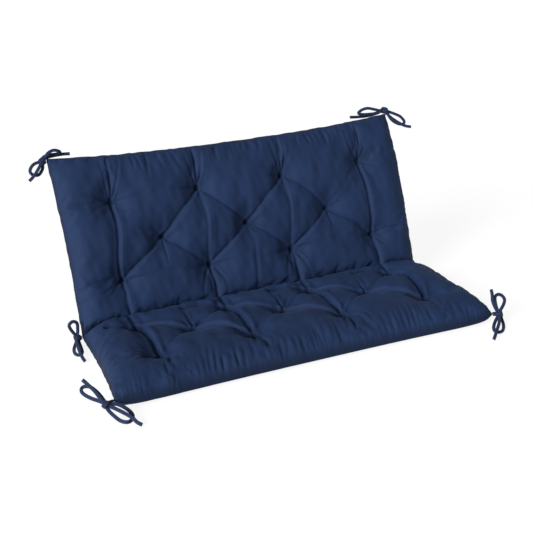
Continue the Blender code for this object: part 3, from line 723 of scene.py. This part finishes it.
# Short folds that start at a seam: from, to, depth, half width
seamFolds = inMetres([
    ((-347, 528), (-343, 486), 2.4, 3.4), ((-328, 528), (-322, 470), 3, 3.4),
    ((-313, 528), (-309, 484), 2.2, 3), ((-296, 526), (-303, 452), 2.6, 3.6),
    ((-258, 526), (-250, 472), 2.2, 3.8), ((-214, 524), (-190, 452), 2.6, 4),
    ((-62, 524), (-63, 468), 3, 3.4), ((-18, 524), (-25, 462), 1.8, 4), ((36, 522), (30, 488), 2.2, 3.6),
    ((88, 522), (81, 474), 2.6, 4.2), ((230, 524), (227, 478), 2.4, 3.4),
    ((266, 526), (272, 476), 2.8, 3.2), ((282, 526), (291, 480), 2.4, 3.2),
    ((326, 528), (331, 466), 3.4, 3.4), ((348, 530), (353, 476), 2.4, 3.2),
    ((383, 530), (387, 488), 2.2, 3.2), ((12, 190), (-7, 30), 3, 4.2),
    ((-358, -425), (-362, -470), 1.8, 3.4), ((-334, -400), (-346, -468), 2.4, 3.6),
    ((-308, -378), (-333, -470), 3.2, 3.6), ((-296, -395), (-315, -465), 2.7, 3.2),
    ((-282, -422), (-292, -470), 2.7, 3.4), ((-260, -415), (-268, -462), 1.9, 3.4),
    ((-236, -396), (-247, -468), 2.9, 3.6), ((-216, -405), (-226, -464), 2.2, 3.4),
    ((-190, -385), (-197, -460), 2.6, 3.6), ((-100, -400), (-112, -468), 2.7, 3.4),
    ((-80, -395), (-94, -462), 2.4, 3.4), ((-58, -405), (-68, -466), 1.9, 3.6),
    ((-32, -410), (-40, -462), 1.9, 3.6), ((-4, -410), (-8, -464), 2.4, 3.2),
    ((14, -405), (8, -460), 2.2, 3.2), ((46, -385), (34, -456), 2.4, 3.8),
    ((74, -380), (62, -456), 2.2, 3.6), ((88, -385), (80, -452), 2.7, 3.6),
    ((242, -380), (236, -462), 1.9, 3.6), ((266, -388), (256, -466), 2.2, 3.6),
    ((286, -395), (278, -462), 1.6, 3.4), ((308, -380), (300, -466), 1.9, 3.6),
    ((328, -376), (317, -460), 2.5, 3.4), ((346, -380), (336, -460), 2.2, 3.2),
    ((360, -384), (352, -456), 1.9, 3), ((376, -376), (368, -458), 2.1, 3.4),
    ((394, -386), (388, -458), 1.6, 3.6), ((478, -405), (474, -462), 1.4, 4.5),
    ((505, -415), (502, -464), 1.1, 4.5), ((-470, -420), (-474, -468), 1.6, 4.5),
    ((-500, -425), (-508, -470), 1.4, 4.5),
])

# Pleats along the seams: spacing, depth, reach from the seam, seed
seamPleats = {
    "top": (0.0120, 0.0018, 0.028, 11),
    "front": (0.0150, 0.0017, 0.050, 23),
    "creaseUp": (0.0170, 0.0003, 0.030, 31),
    "creaseOut": (0.0170, 0.0005, 0.026, 43),
    "left": (0.0150, 0.0014, 0.022, 53),
    "right": (0.0150, 0.0014, 0.022, 67),
}

# A pleat's spacing, strength and reach: least share, share added by chance, and its power
pleatSettings = {
    "spacing": (0.45, 1.1),
    "strength": (0.25, 0.75, 1.3),
    "reach": (0.5, 1.1, 1.5),
    "span": (-0.75, 1.6),       # where the first one is, and how far they go on
    "lean": 0.12,
    "leanTurn": 23.0,
    "ridge": (0.75, 0.55),      # power and level
    "fade": 1.6,
}

# Small unevenness of the filling, and of the seams that hold it
unevenness = {
    "seed": 17,
    "waves": 26,
    "longest": 0.110,
    "shortest": 0.028,
    "turn": 0.45,
    "height": 0.00042,
    "clearOfTuft": 0.04,
    "clearOfCrease": 0.03,
    "seamSpacing": 0.017,
    "seamHalf": 0.8,
    "seamShift": 0.3,
    "seamPucker": 0.0013,
    # half width of the shade painted along the seams
    "seamDark": 0.0060,
}

# Fine folds of each kind. Each fold also paints shade into the cloth's colour along its valley, by its depth,
# full at a set depth.
foldSettings = {
    "seed": 5,
    "lip": 0.42,
    "power": 1.3,
    "ridge": (2.5, 1.3),        # place and width, in widths of the valley
    "darkDepth": 0.0040,
    "main": {"reach": 0.06, "lip": 0.75, "dark": 0.7, "seatWidth": 0.0056, "backWidth": 0.0038,
             "strength": (0.40, 0.9, 0.055),    # everywhere, added near a tuft, how near
             "wander": (0.0010, 9.0, 400.0, 70.0),      # aside, and its turns along, by the bow, by the cut
             "rollEnds": 0.6, "rollFarSide": 2.4},
    "fan": {"reach": 0.04, "dark": 0.8, "taper": 0.55, "start": 8.0, "width": (0.75, 0.5)},
    "seam": {"reach": 0.03, "dark": 0.4, "bow": 0.003, "ends": 0.6, "width": 1.15, "depth": 0.85},
    "tuft": {"reach": 0.02, "dark": 0.6, "count": 9, "turn": 0.35, "length": (0.016, 0.036),
             "seatLonger": 1.3, "start": 5.0, "width": (0.0022, 0.0030), "seatDepth": 0.0030,
             "backDepth": 0.0020},
}

# Hollows at a tuft, and the shade painted round it: depth or strength, half width, power
hollowSettings = {
    "stitch": (0.0040, 0.0080, 1.2),
    "seat": 0.0075,
    "back": 0.0030,
    "wide": (0.026, 1.3),
    "seatShift": (0.006, 0.010),
    "darks": ((0.85, 0.010, 1.1), (0.45, 0.021, 1.6)),
    # the shade painted along the crease
    "creaseDark": (0.006, 0.018),       # half widths, in front of the crease and above it
}

gatherSettings = {
    "seamCalm": (0.012, 0.25),          # width of the folds' fade at a seam, and where in it the seam is
    "floorEnd": 0.05,
    "lowerShare": 0.45,
    "floorShare": 0.5,
    "puckerReach": 0.016,
    "puckerSeeds": (71, 73, 79),
}

fillSettings = {
    "sideRound": 0.085,
    "creaseSlope": (0.110, 0.050),
    "creaseSlopeFade": 0.05,
    "frontRound": 0.120,
    "topRound": 0.150,
    "underRound": 0.055,
    "rimFullness": 0.85,
    "underFold": 0.022,
    "creaseThickness": 0.020,
}

inflateSettings = {
    "frames": 20,
    "cap": 0.007,
    "levels": 10,
    "tuftHold": 0.028,
    "seamHold": 0.008,
    "creaseHold": 0.015,
    "floorHold": 0.06,
    "cloth": {
        "quality": 5,
        "mass": 0.25,
        "tension_stiffness": 15.0,
        "compression_stiffness": 12.0,
        "shear_stiffness": 5.0,
        "bending_stiffness": 0.4,
        "tension_damping": 12.0,
        "compression_damping": 12.0,
        "shear_damping": 8.0,
        "bending_damping": 1.0,
        "air_damping": 4.0,
        "use_pressure": True,
        "uniform_pressure_force": 4.0,
        "shrink_min": -0.035,
        "vertex_group_mass": "stitched",
        "pin_stiffness": 1.0,
    },
}


def smoothStep(x):
    x = np.clip(x, 0.0, 1.0)
    return x * x * (3.0 - 2.0 * x)


def rounded(distance, reach):
    share = np.clip(distance / reach, 0.0, 1.0)
    return np.sqrt(np.maximum(1.0 - (1.0 - share) ** 2, 0.0))


def eased(share):
    return share - cover["easing"] * np.sin(2.0 * math.pi * share) / (2.0 * math.pi)


def between(a, b, share):
    return a + (b - a) * share


def halfWidth(side, v):
    result = np.zeros_like(v)
    for sign, ends, draw in ((-1.0, cover["leftHalfWidth"], cover["leftDraw"]),
                             (1.0, cover["rightHalfWidth"], cover["rightDraw"])):
        seatShare = np.clip(-v / cover["seatDepth"], 0.0, 1.0)
        seat = between(ends["crease"], ends["front"], seatShare ** 3)
        seat = seat - draw["seat"] * np.sin(math.pi * seatShare)
        if sign > 0.0:
            depth, place, spread, start = cover["rightNotch"]
            beside = np.exp(-(((v - place) / spread) ** 2))
            seat = seat - depth * beside * np.clip(-v / start, 0.0, 1.0)
        backShare = np.clip(v / cover["backHeight"], 0.0, 1.0)
        back = between(ends["crease"], ends["top"], backShare)
        back = back - draw["back"] * np.sin(math.pi * backShare)
        here = np.where(v < 0.0, seat, back)
        result = np.where((side < 0.0) == (sign < 0.0), here, result)
    return result


def topReach(side):
    return cover["backHeight"] + cover["cornerEar"] * np.abs(side) ** cover["earPower"]


def frontReach(side):
    rise, fall = cover["seatCornerPowers"]
    return cover["seatDepth"] + cover["seatCornerReach"] * (np.abs(side) ** rise - np.abs(side) ** fall)


def seamLevel(side):
    end = np.where(side < 0.0, cover["creaseEndZ"][0], cover["creaseEndZ"][1])
    return between(cover["creaseZ"], end, np.abs(side) ** cover["creaseEndPower"])


def midSurface(side, v):
    x = side * halfWidth(side, v)
    lean = cover["backLean"]
    lifted = np.abs(side) ** cover["frontCornerPower"]
    front = between(cover["frontSeamZ"], cover["frontCornerZ"], lifted)
    seatZ = between(seamLevel(side), front, -v / frontReach(side))
    fade = 1.0 - smoothStep(v / cover["backHeight"])
    backZ = cover["creaseZ"] + (seamLevel(side) - cover["creaseZ"]) * fade + v * math.cos(lean)
    y = np.where(v < 0.0, v, v * math.sin(lean))
    z = np.where(v < 0.0, seatZ, backZ)
    return np.stack([x, y, z], axis=-1)


def tuftFactor(x, v, pull):
    left = np.ones_like(x)
    for tuftX, tuftV in tufts.values():
        ahead = v - tuftV
        if tuftSettings["rearRow"] < tuftV < 0.0:
            ahead = np.where(ahead > 0.0, tuftSettings["rearStretch"] * ahead, ahead)
        gap = np.hypot(x - tuftX, ahead) / tuftSettings["spread"]
        near = pull * np.exp(-(gap ** tuftSettings["power"]))
        left *= 1.0 - np.where((v < 0.0) == (tuftV < 0.0), near, 0.0)
    return left


def tuftGap(x, v):
    gap = np.full_like(x, 1.0)
    for tuftX, tuftV in tufts.values():
        gap = np.minimum(gap, np.hypot(x - tuftX, v - tuftV))
    return gap


def placeOf(name):
    return tufts[name] if isinstance(name, str) else name


def foldDistance(x, v, start, end, bow, sway=0.0, overrun=0.1):
    # distance to the left of a bowed line, and how much of the fold is left near its ends
    startX, startV = placeOf(start)
    endX, endV = placeOf(end)
    runX, runV = endX - startX, endV - startV
    length = math.hypot(runX, runV)
    share = ((x - startX) * runX + (v - startV) * runV) / length ** 2
    off = ((v - startV) * runX - (x - startX) * runV) / length
    off -= bow * np.sin(math.pi * share) + sway * np.sin(2.0 * math.pi * share)
    ends = smoothStep((share + overrun) / (1.5 * overrun))
    ends = ends * smoothStep((1.0 + overrun - share) / (1.5 * overrun))
    ends = np.where((v < 0.0) == (startV + endV < 0.0), ends, 0.0)
    return off, ends, share


def clearOfCrease(v, clear):
    return smoothStep((np.abs(v) - np.where(v < 0.0, *clear)) / clearFade)


def creaseFactor(x, v):
    left = np.ones_like(x)
    for start, end, bow, sway, width, cut, fine, roll in mainCreases:
        off, ends, share = foldDistance(x, v, start, end, bow, sway)
        gentle, steep = creaseShape["seat" if placeOf(start)[1] < 0.0 else "back"]
        halfway = width * np.where(off > 0.0, steep, gentle)
        left *= 1.0 - cut * ends * np.exp(-((off / halfway) ** 2))
    return 1.0 - (1.0 - left) * clearOfCrease(v, pillowClear)


def creaseShare(v):
    return 1.0 - np.exp(-np.abs(v) / np.where(v < 0.0, cover["seatCreaseRound"], cover["backCreaseRound"]))


def sideDistance(side, v):
    return (1.0 - np.abs(side)) * halfWidth(side, v)


def seamDistance(side, v):
    return np.minimum(sideDistance(side, v), np.where(v < 0.0, frontReach(side) + v, topReach(side) - v))


def seamShare(side, v):
    slope = np.where(side < 0.0, *fillSettings["creaseSlope"])
    slope = slope * np.exp(-((v / fillSettings["creaseSlopeFade"]) ** 2)) * (v < 0.0)
    beside = rounded(sideDistance(side, v), fillSettings["sideRound"] + slope)
    ahead = np.where(v < 0.0, rounded(frontReach(side) + v, fillSettings["frontRound"]),
                     rounded(topReach(side) - v, fillSettings["topRound"]))
    return (beside * ahead) ** fillSettings["rimFullness"]


def upperHeight(side, v):
    x = side * halfWidth(side, v)
    crown = np.where(v < 0.0, cover["seatCrown"], cover["backCrown"])
    pull = np.where(v < 0.0, tuftSettings["pull"]["seat"], tuftSettings["pull"]["back"])
    floor = crown * (1.0 - pull)
    full = floor + (crown * tuftFactor(x, v, pull) - floor) * creaseFactor(x, v)
    full = between(cover["creaseFloor"], full, creaseShare(v))
    return cover["seam"] / 2.0 + seamShare(side, v) * full


def lowerTurn(v):
    return (math.pi / 2.0 - cover["backLean"]) * smoothStep(v / cover["foldBlend"])


def upperTurn(v):
    share = smoothStep((v + cover["foldBlend"]) / (2.0 * cover["foldBlend"]))
    return (math.pi / 2.0 - cover["backLean"]) * share


def lowerHeight(side, v):
    x = side * halfWidth(side, v)
    level = midSurface(side, v)[..., 2]
    reach = np.minimum(sideDistance(side, v), frontReach(side) + v)
    flat = np.maximum(level * rounded(reach, fillSettings["underRound"]), cover["seam"] / 2.0)
    for tuftX, tuftV in tufts.values():
        if tuftV < 0.0:
            gap = np.hypot(x - tuftX, v - tuftV) / tuftSettings["underRadius"]
            flat -= tuftSettings["underDimple"] * np.maximum(1.0 - gap ** 2 / 4.0, 0.0) ** 3
    edge = np.minimum(seamLevel(side) - cover["seam"], fillSettings["creaseThickness"])
    seat = between(edge * seamShare(side, v), flat, smoothStep(-v / fillSettings["underFold"]))
    full = np.minimum(cover["backCrown"] * tuftFactor(x, v, tuftSettings["pull"]["rear"]), cover["rearCrown"])
    bulge, place, spread = cover["heelBulge"]
    full = between(edge, full, creaseShare(v)) + bulge * np.exp(-(((v - place) / spread) ** 2))
    floor = level / np.maximum(np.cos(lowerTurn(v)), 0.05)
    back = np.minimum(cover["seam"] / 2.0 + seamShare(side, v) * full, floor)
    return np.where(v < 0.0, seat, back)


def makeSheet(columns, seatRows, backRows, upper):
    # a grid laid over the cover, which keeps its place on the cover as attributes
    sheet = bmesh.new()
    rows = seatRows + backRows
    bmesh.ops.create_grid(sheet, x_segments=columns, y_segments=rows, size=0.5)
    data = bpy.data.meshes.new("sheet")
    sheet.to_mesh(data)
    sheet.free()
    flat = np.empty(len(data.vertices) * 3)
    data.vertices.foreach_get("co", flat)
    flat = flat.reshape(-1, 3)
    side = 2.0 * eased(flat[:, 0] + 0.5) - 1.0
    row = (flat[:, 1] + 0.5) * rows
    seatV = -frontReach(side) * (1.0 - eased(np.clip(row / seatRows, 0.0, 1.0)))
    backV = topReach(side) * eased(np.clip((row - seatRows) / backRows, 0.0, 1.0))
    v = np.where(row < seatRows - 0.01, seatV, backV)
    turn = upperTurn(v) if upper else lowerTurn(v)
    normal = np.stack([np.zeros_like(v), -np.sin(turn), np.cos(turn)], axis=-1)
    height = upperHeight(side, v) if upper else -lowerHeight(side, v)
    places = midSurface(side, v) + normal * height[:, None] + np.array(cover["toOrigin"])
    data.vertices.foreach_set("co", places.ravel())
    for name, values in (("side", side), ("along", v), ("lower", np.full_like(v, 0.0 if upper else 1.0))):
        layer = data.attributes.new(name, "FLOAT", "POINT")
        layer.data.foreach_set("value", values)
    if not upper:
        data.flip_normals()
    return data


def readAttribute(data, name):
    values = np.empty(len(data.vertices))
    data.attributes[name].data.foreach_get("value", values)
    return values


def readPlaces(data):
    places = np.empty(len(data.vertices) * 3)
    data.vertices.foreach_get("co", places)
    return places.reshape(-1, 3)


def sewCover(settings):
    sewn = bmesh.new()
    for upper, columns, seatRows, backRows in (
            (True, settings["columns"], settings["seatRows"], settings["backRows"]),
            (False, settings["lowerColumns"], settings["lowerSeatRows"], settings["lowerBackRows"])):
        data = makeSheet(columns, seatRows, backRows, upper)
        sewn.from_mesh(data)
        bpy.data.meshes.remove(data)
    rims = [edge for edge in sewn.edges if edge.is_boundary]
    bmesh.ops.bridge_loops(sewn, edges=rims)
    bmesh.ops.recalc_face_normals(sewn, faces=sewn.faces)
    data = bpy.data.meshes.new("cushionCover")
    sewn.to_mesh(data)
    sewn.free()
    cushion = bpy.data.objects.new("cushionCover", data)
    bpy.context.scene.collection.objects.link(cushion)
    return cushion


def holdWeights(data, settings):
    # 1 where stitches hold the cover still, 0 where it may swell
    side, v, lower = (readAttribute(data, name) for name in ("side", "along", "lower"))
    hold = np.exp(-((tuftGap(side * halfWidth(side, v), v) / settings["tuftHold"]) ** 2))
    hold = np.maximum(hold, 1.0 - smoothStep(seamDistance(side, v) / settings["seamHold"]))
    hold = np.maximum(hold, 1.0 - smoothStep(np.abs(v) / settings["creaseHold"]))
    hold = np.maximum(hold, np.where((lower > 0.5) & (v < settings["floorHold"]), 1.0, 0.0))
    return np.clip(hold, 0.0, 1.0)


def inflate(cushion, settings):
    data = cushion.data
    hold = holdWeights(data, settings)
    group = cushion.vertex_groups.new(name="stitched")
    for level in range(1, settings["levels"] + 1):
        chosen = np.flatnonzero(np.round(hold * settings["levels"]) == level)
        if len(chosen):
            group.add(chosen.tolist(), level / settings["levels"], "REPLACE")
    before = readPlaces(data)
    cloth = cushion.modifiers.new("swell", "CLOTH")
    for name, value in settings["cloth"].items():
        setattr(cloth.settings, name, value)
    cloth.settings.effector_weights.gravity = 0.0
    cloth.collision_settings.use_collision = False
    cloth.collision_settings.use_self_collision = False
    scene = bpy.context.scene
    for number in range(1, settings["frames"] + 1):
        scene.frame_set(number)
    graph = bpy.context.evaluated_depsgraph_get()
    swollen = bpy.data.meshes.new_from_object(cushion.evaluated_get(graph))
    after = readPlaces(swollen)
    bpy.data.meshes.remove(swollen)
    cushion.modifiers.remove(cloth)
    scene.frame_set(1)
    move = after - before
    length = np.linalg.norm(move, axis=1)
    print(f"swelling moved the cover by {length.mean() * 1000:.1f} mm, at most {length.max() * 1000:.1f} mm")
    move *= (settings["cap"] * np.tanh(length / settings["cap"]) / np.maximum(length, 1e-9))[:, None]
    places = before + move * (1.0 - hold)[:, None]
    data.vertices.foreach_set("co", places.ravel())
    data.update()


def refine(cushion):
    # one smooth subdivision, which keeps the places on the cover
    divide = cushion.modifiers.new("fine", "SUBSURF")
    divide.levels = 1
    divide.render_levels = 1
    graph = bpy.context.evaluated_depsgraph_get()
    fine = bpy.data.meshes.new_from_object(cushion.evaluated_get(graph))
    cushion.modifiers.remove(divide)
    old = cushion.data
    cushion.data = fine
    bpy.data.meshes.remove(old)
    cushion.vertex_groups.clear()


def fold(off, width, lip=foldSettings["lip"]):
    # a sharp valley with a low ridge on either side, its left one as high as the lip says
    place, spread = foldSettings["ridge"]
    valley = -np.exp(-(np.abs(off) / width) ** foldSettings["power"])
    ridge = np.exp(-(((np.abs(off) - place * width) / (spread * width)) ** 2))
    return valley + np.where(off > 0.0, lip, foldSettings["lip"]) * ridge


def pleats(along, fromSeam, spacing, depth, reach, seed):
    # uneven gathers: sharp valleys with round ridges between them
    rng = np.random.default_rng(seed)
    first, span = pleatSettings["span"]
    count = int(span / spacing)
    least, added = pleatSettings["spacing"]
    places = first + np.cumsum(spacing * (least + added * rng.random(count)))
    least, added, power = pleatSettings["strength"]
    strength = least + added * rng.random(count) ** power
    least, added, power = pleatSettings["reach"]
    reaches = reach * (least + added * rng.random(count) ** power)
    along = along + pleatSettings["lean"] * fromSeam * np.sin(along * pleatSettings["leanTurn"] + seed)
    index = np.clip(np.searchsorted(places, along) - 1, 0, count - 2)
    share = np.clip((along - places[index]) / (places[index + 1] - places[index]), 0.0, 1.0)
    power, level = pleatSettings["ridge"]
    ridge = np.sin(math.pi * share) ** power - level
    valleyFade = np.exp(-((fromSeam / reaches[index]) ** pleatSettings["fade"]))
    return depth * strength[index] * ridge * valleyFade


def foldField(x, v, start, end, bow, reach, sway=0.0):
    # only the points near a fold are worked out
    startX, startV = placeOf(start)
    endX, endV = placeOf(end)
    near = (x > min(startX, endX) - reach) & (x < max(startX, endX) + reach)
    near &= (v > min(startV, endV) - reach) & (v < max(startV, endV) + reach)
    off, ends, share = foldDistance(x[near], v[near], start, end, bow, sway)
    return near, off, ends, share


def unevenFilling(x, v):
    # long low waves, mostly across the cover
    rng = np.random.default_rng(unevenness["seed"])
    height = np.zeros_like(x)
    for number in range(unevenness["waves"]):
        length = rng.uniform(unevenness["shortest"], unevenness["longest"])
        angle = rng.normal(0.0, unevenness["turn"])
        phase = rng.uniform(0.0, 2.0 * math.pi)
        along = x * math.cos(angle) + v * math.sin(angle)
        height += np.sin(2.0 * math.pi / length * along + phase) * (length / unevenness["longest"])
    return unevenness["height"] * height


def seamWander(along, seed):
    # the seam pulls in a little between its stitches
    rng = np.random.default_rng(seed)
    spacing, shift = unevenness["seamSpacing"], unevenness["seamShift"]
    knots = np.arange(-unevenness["seamHalf"], unevenness["seamHalf"], spacing)
    knots = knots + rng.uniform(-shift, shift, len(knots)) * spacing
    return unevenness["seamPucker"] * np.interp(along, knots, rng.uniform(-1.0, 1.0, len(knots)))


def fineFolds(x, v, side):
    height = np.zeros_like(x)
    paintedShade = np.zeros_like(x)
    rng = np.random.default_rng(foldSettings["seed"])

    def press(near, shape, depth, kind):
        height[near] += depth * shape
        # the fold's valley is painted in shade too, the more the deeper it is
        dark = min(kind["dark"] * depth / foldSettings["darkDepth"], 1.0)
        paintedShade[near] = np.maximum(paintedShade[near], np.clip(-shape, 0.0, 1.0) * dark)

    gap = tuftGap(x, v)
    clear = clearOfCrease(v, foldClear)
    kind = foldSettings["main"]
    least, added, close = kind["strength"]
    aside, turn, byBow, byCut = kind["wander"]
    strength = least + added * np.exp(-gap / close)
    for start, end, bow, sway, width, cut, fine, roll in mainCreases:
        near, off, ends, share = foldField(x, v, start, end, bow, kind["reach"], sway)
        off = off + aside * np.sin(share * turn + byBow * bow + byCut * cut)
        halfway = kind["seatWidth"] if placeOf(start)[1] < 0.0 else kind["backWidth"]
        press(near, fold(off, halfway, kind["lip"]) * (ends * clear[near] * strength[near]), fine, kind)
        if roll is not None:
            away, spread, high = roll
            swell = np.sin(math.pi * np.clip(share, 0.0, 1.0)).clip(0.0, 1.0) ** kind["rollEnds"]
            past = off - away
            spread = np.where(past * away > 0.0, kind["rollFarSide"] * spread, spread)
            height[near] += high * swell * clear[near] * np.exp(-((past / spread) ** 2))
    kind = foldSettings["fan"]
    narrow, wider = kind["width"]
    for tuft, folds in fanFolds.items():
        for end, bow, depth, width in folds:
            near, off, ends, share = foldField(x, v, tuft, end, bow, kind["reach"])
            run = np.clip(share, 0.0, 1.0)
            taper = (1.0 - run) ** kind["taper"] * np.clip(run * kind["start"], 0.0, 1.0) * clear[near]
            press(near, fold(off, width * (narrow + wider * run)) * ends * taper, depth, kind)
    kind = foldSettings["seam"]
    for start, end, depth, width in seamFolds:
        bow = rng.uniform(-kind["bow"], kind["bow"])
        near, off, ends, share = foldField(x, v, start, end, bow, kind["reach"])
        swell = np.sin(math.pi * np.clip(share, 0.02, 1.0)) ** kind["ends"]
        press(near, fold(off, kind["width"] * width) * swell, kind["depth"] * depth, kind)
    kind = foldSettings["tuft"]
    narrow, wider = kind["width"]
    for tuftX, tuftV in tufts.values():
        depth = kind["seatDepth"] if tuftV < 0.0 else kind["backDepth"]
        longer = kind["seatLonger"] if tuftV < 0.0 else 1.0
        for number in range(kind["count"]):
            turn = number + rng.uniform(-kind["turn"], kind["turn"])
            angle = 2.0 * math.pi * turn / kind["count"]
            reach = rng.uniform(*kind["length"]) * longer
            end = (tuftX + math.cos(angle) * reach, tuftV + math.sin(angle) * reach)
            near, off, ends, share = foldField(x, v, (tuftX, tuftV), end, 0.0, kind["reach"])
            run = np.clip(share, 0.0, 1.0)
            taper = (1.0 - run) * np.clip(run * kind["start"], 0.0, 1.0)
            press(near, fold(off, narrow + wider * run) * ends * taper, depth, kind)
    depth, width, power = hollowSettings["stitch"]
    height -= depth * np.exp(-((gap / width) ** power))
    shiftX, shiftV = (np.where(v < 0.0, shift, 0.0) for shift in hollowSettings["seatShift"])
    width, power = hollowSettings["wide"]
    depth = np.where(v < 0.0, hollowSettings["seat"], hollowSettings["back"])
    height -= depth * np.exp(-((tuftGap(x + shiftX, v + shiftV) / width) ** power))
    calm = smoothStep(gap / unevenness["clearOfTuft"]) * smoothStep(np.abs(v) / unevenness["clearOfCrease"])
    height += unevenFilling(x, v) * calm
    # shade painted round each tuft
    for dark, width, power in hollowSettings["darks"]:
        paintedShade = np.maximum(paintedShade, dark * np.exp(-((gap / width) ** power)))
    for name, fromSeam, along, here in (
            ("top", topReach(side) - v, x, v > 0.0),
            ("front", frontReach(side) + v, x, v < 0.0),
            ("creaseUp", v, x, v > 0.0),
            ("creaseOut", -v, x, v < 0.0),
            ("left", sideDistance(side, v), v, side < 0.0),
            ("right", sideDistance(side, v), v, side > 0.0)):
        gathers = pleats(along, np.maximum(fromSeam, 0.0), *seamPleats[name])
        height += np.where(here, gathers, 0.0)
    # shade painted along the crease
    creaseGap = v / np.where(v < 0.0, *hollowSettings["creaseDark"])
    return height, np.maximum(paintedShade, np.exp(-(creaseGap ** 2)))


def gatherCover(cushion, settings):
    data = cushion.data
    side, v, lower = (readAttribute(data, name) for name in ("side", "along", "lower"))
    x = side * halfWidth(side, v)
    normals = np.empty(len(data.vertices) * 3)
    data.vertex_normals.foreach_get("vector", normals)
    normals = normals.reshape(-1, 3)
    height, paintedShade = fineFolds(x, v, side)
    edge = seamDistance(side, v)
    calm, least = settings["seamCalm"]
    height *= smoothStep(edge / calm + least)
    flatFloor = (lower > 0.5) & (v < settings["floorEnd"])
    height = np.where(lower > 0.5, settings["lowerShare"] * height, height)
    height = np.where(flatFloor, np.minimum(height, 0.0) * settings["floorShare"], height)
    places = readPlaces(data) + normals * height[:, None]
    reach = settings["puckerReach"]
    leftSeed, rightSeed, topSeed = settings["puckerSeeds"]
    sideSeam = np.exp(-((sideDistance(side, v) / reach) ** 2))
    places[:, 0] += np.where(side < 0.0, -seamWander(v, leftSeed), seamWander(v, rightSeed)) * sideSeam
    topSeam = np.where(v > 0.0, np.exp(-(((topReach(side) - v) / reach) ** 2)), 0.0)
    places[:, 2] += seamWander(x, topSeed) * topSeam
    places[:, 2] = np.maximum(places[:, 2], 0.0)
    # shade painted along the seams
    paintedShade = np.maximum(paintedShade, np.exp(-((edge / unevenness["seamDark"]) ** 2)))
    data.vertices.foreach_set("co", places.ravel())
    # how much shade is painted into the cloth's colour at each point
    paintedShadeLayer = data.attributes.new("pulledIn", "FLOAT", "POINT")
    paintedShadeLayer.data.foreach_set("value", np.clip(paintedShade, 0.0, 1.0))
    # the weave's map: metres across and along the cover
    uvLayer = data.uv_layers.new(name="coverMap")
    corners = np.empty(len(data.loops), dtype=np.int32)
    data.loops.foreach_get("vertex_index", corners)
    uvs = np.stack([x + 1.0, v + 1.0 + 2.0 * np.round(lower)], axis=-1)
    uvLayer.data.foreach_set("uv", uvs[corners].ravel())
    data.shade_smooth()
    data.update()


cushion = sewCover(cover)
print(f"cover sewn, {len(cushion.data.vertices)} points")
inflate(cushion, inflateSettings)
refine(cushion)
gatherCover(cushion, gatherSettings)
cushion.data.materials.clear()
cushion.data.materials.append(coverCloth)
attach(cushion, "root")
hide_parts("cushion")
print(f"cover gathered, {len(cushion.data.polygons)} faces")


# Floor and light
stageSettings = {
    "floor": 40.0,
    "floorColour": (0.15, 0.15, 0.15),
    "floorGrain": 0.01,
    "floorRoughness": 0.9,
    "floorShine": 0.1,
    "floorGlow": 0.88,
    "sky": 0.34,
    "lights": [
        # name, direction it comes from, spread in degrees, strength
        ("windowLight", (-0.82, -0.38, 0.40), 26.0, 4.5),
    ],
}


def makeStage(settings):
    floor = bmesh.new()
    bmesh.ops.create_grid(floor, x_segments=1, y_segments=1, size=settings["floor"] / 2.0)
    data = bpy.data.meshes.new("studioFloor")
    floor.to_mesh(data)
    floor.free()
    material, nodes = newMaterial("paleFloor")
    place = nodes.new("ShaderNodeTexCoord").outputs["Object"]
    grain = addNode(nodes, "ShaderNodeTexNoise", Vector=place, Scale=3.0, Detail=2.0).outputs["Fac"]
    low = tuple(part - settings["floorGrain"] for part in settings["floorColour"])
    setInputs(nodes["Principled BSDF"], {
        "Base Color": addRamp(nodes, grain, [(0.3, low), (0.7, settings["floorColour"])]),
        "Roughness": settings["floorRoughness"],
        "Specular IOR Level": settings["floorShine"],
        "Emission Color": (1.0, 1.0, 1.0, 1.0),
        "Emission Strength": settings["floorGlow"],
    })
    data.materials.append(material)
    piece = bpy.data.objects.new("studioFloor", data)
    bpy.context.scene.collection.objects.link(piece)
    for name, direction, spread, strength in settings["lights"]:
        light = bpy.data.lights.new(name, "SUN")
        light.angle = math.radians(spread)
        light.energy = strength
        lamp = bpy.data.objects.new(name, light)
        lamp.rotation_euler = (-Vector(direction)).to_track_quat("-Z", "Y").to_euler()
        bpy.context.scene.collection.objects.link(lamp)
    world = bpy.data.worlds.new("studioSky")
    world.use_nodes = True
    world.node_tree.nodes["Background"].inputs["Color"].default_value = (1.0, 1.0, 1.0, 1.0)
    world.node_tree.nodes["Background"].inputs["Strength"].default_value = settings["sky"]
    bpy.context.scene.world = world
    bpy.context.scene.view_settings.view_transform = "Standard"


makeStage(stageSettings)
print("stage lit")
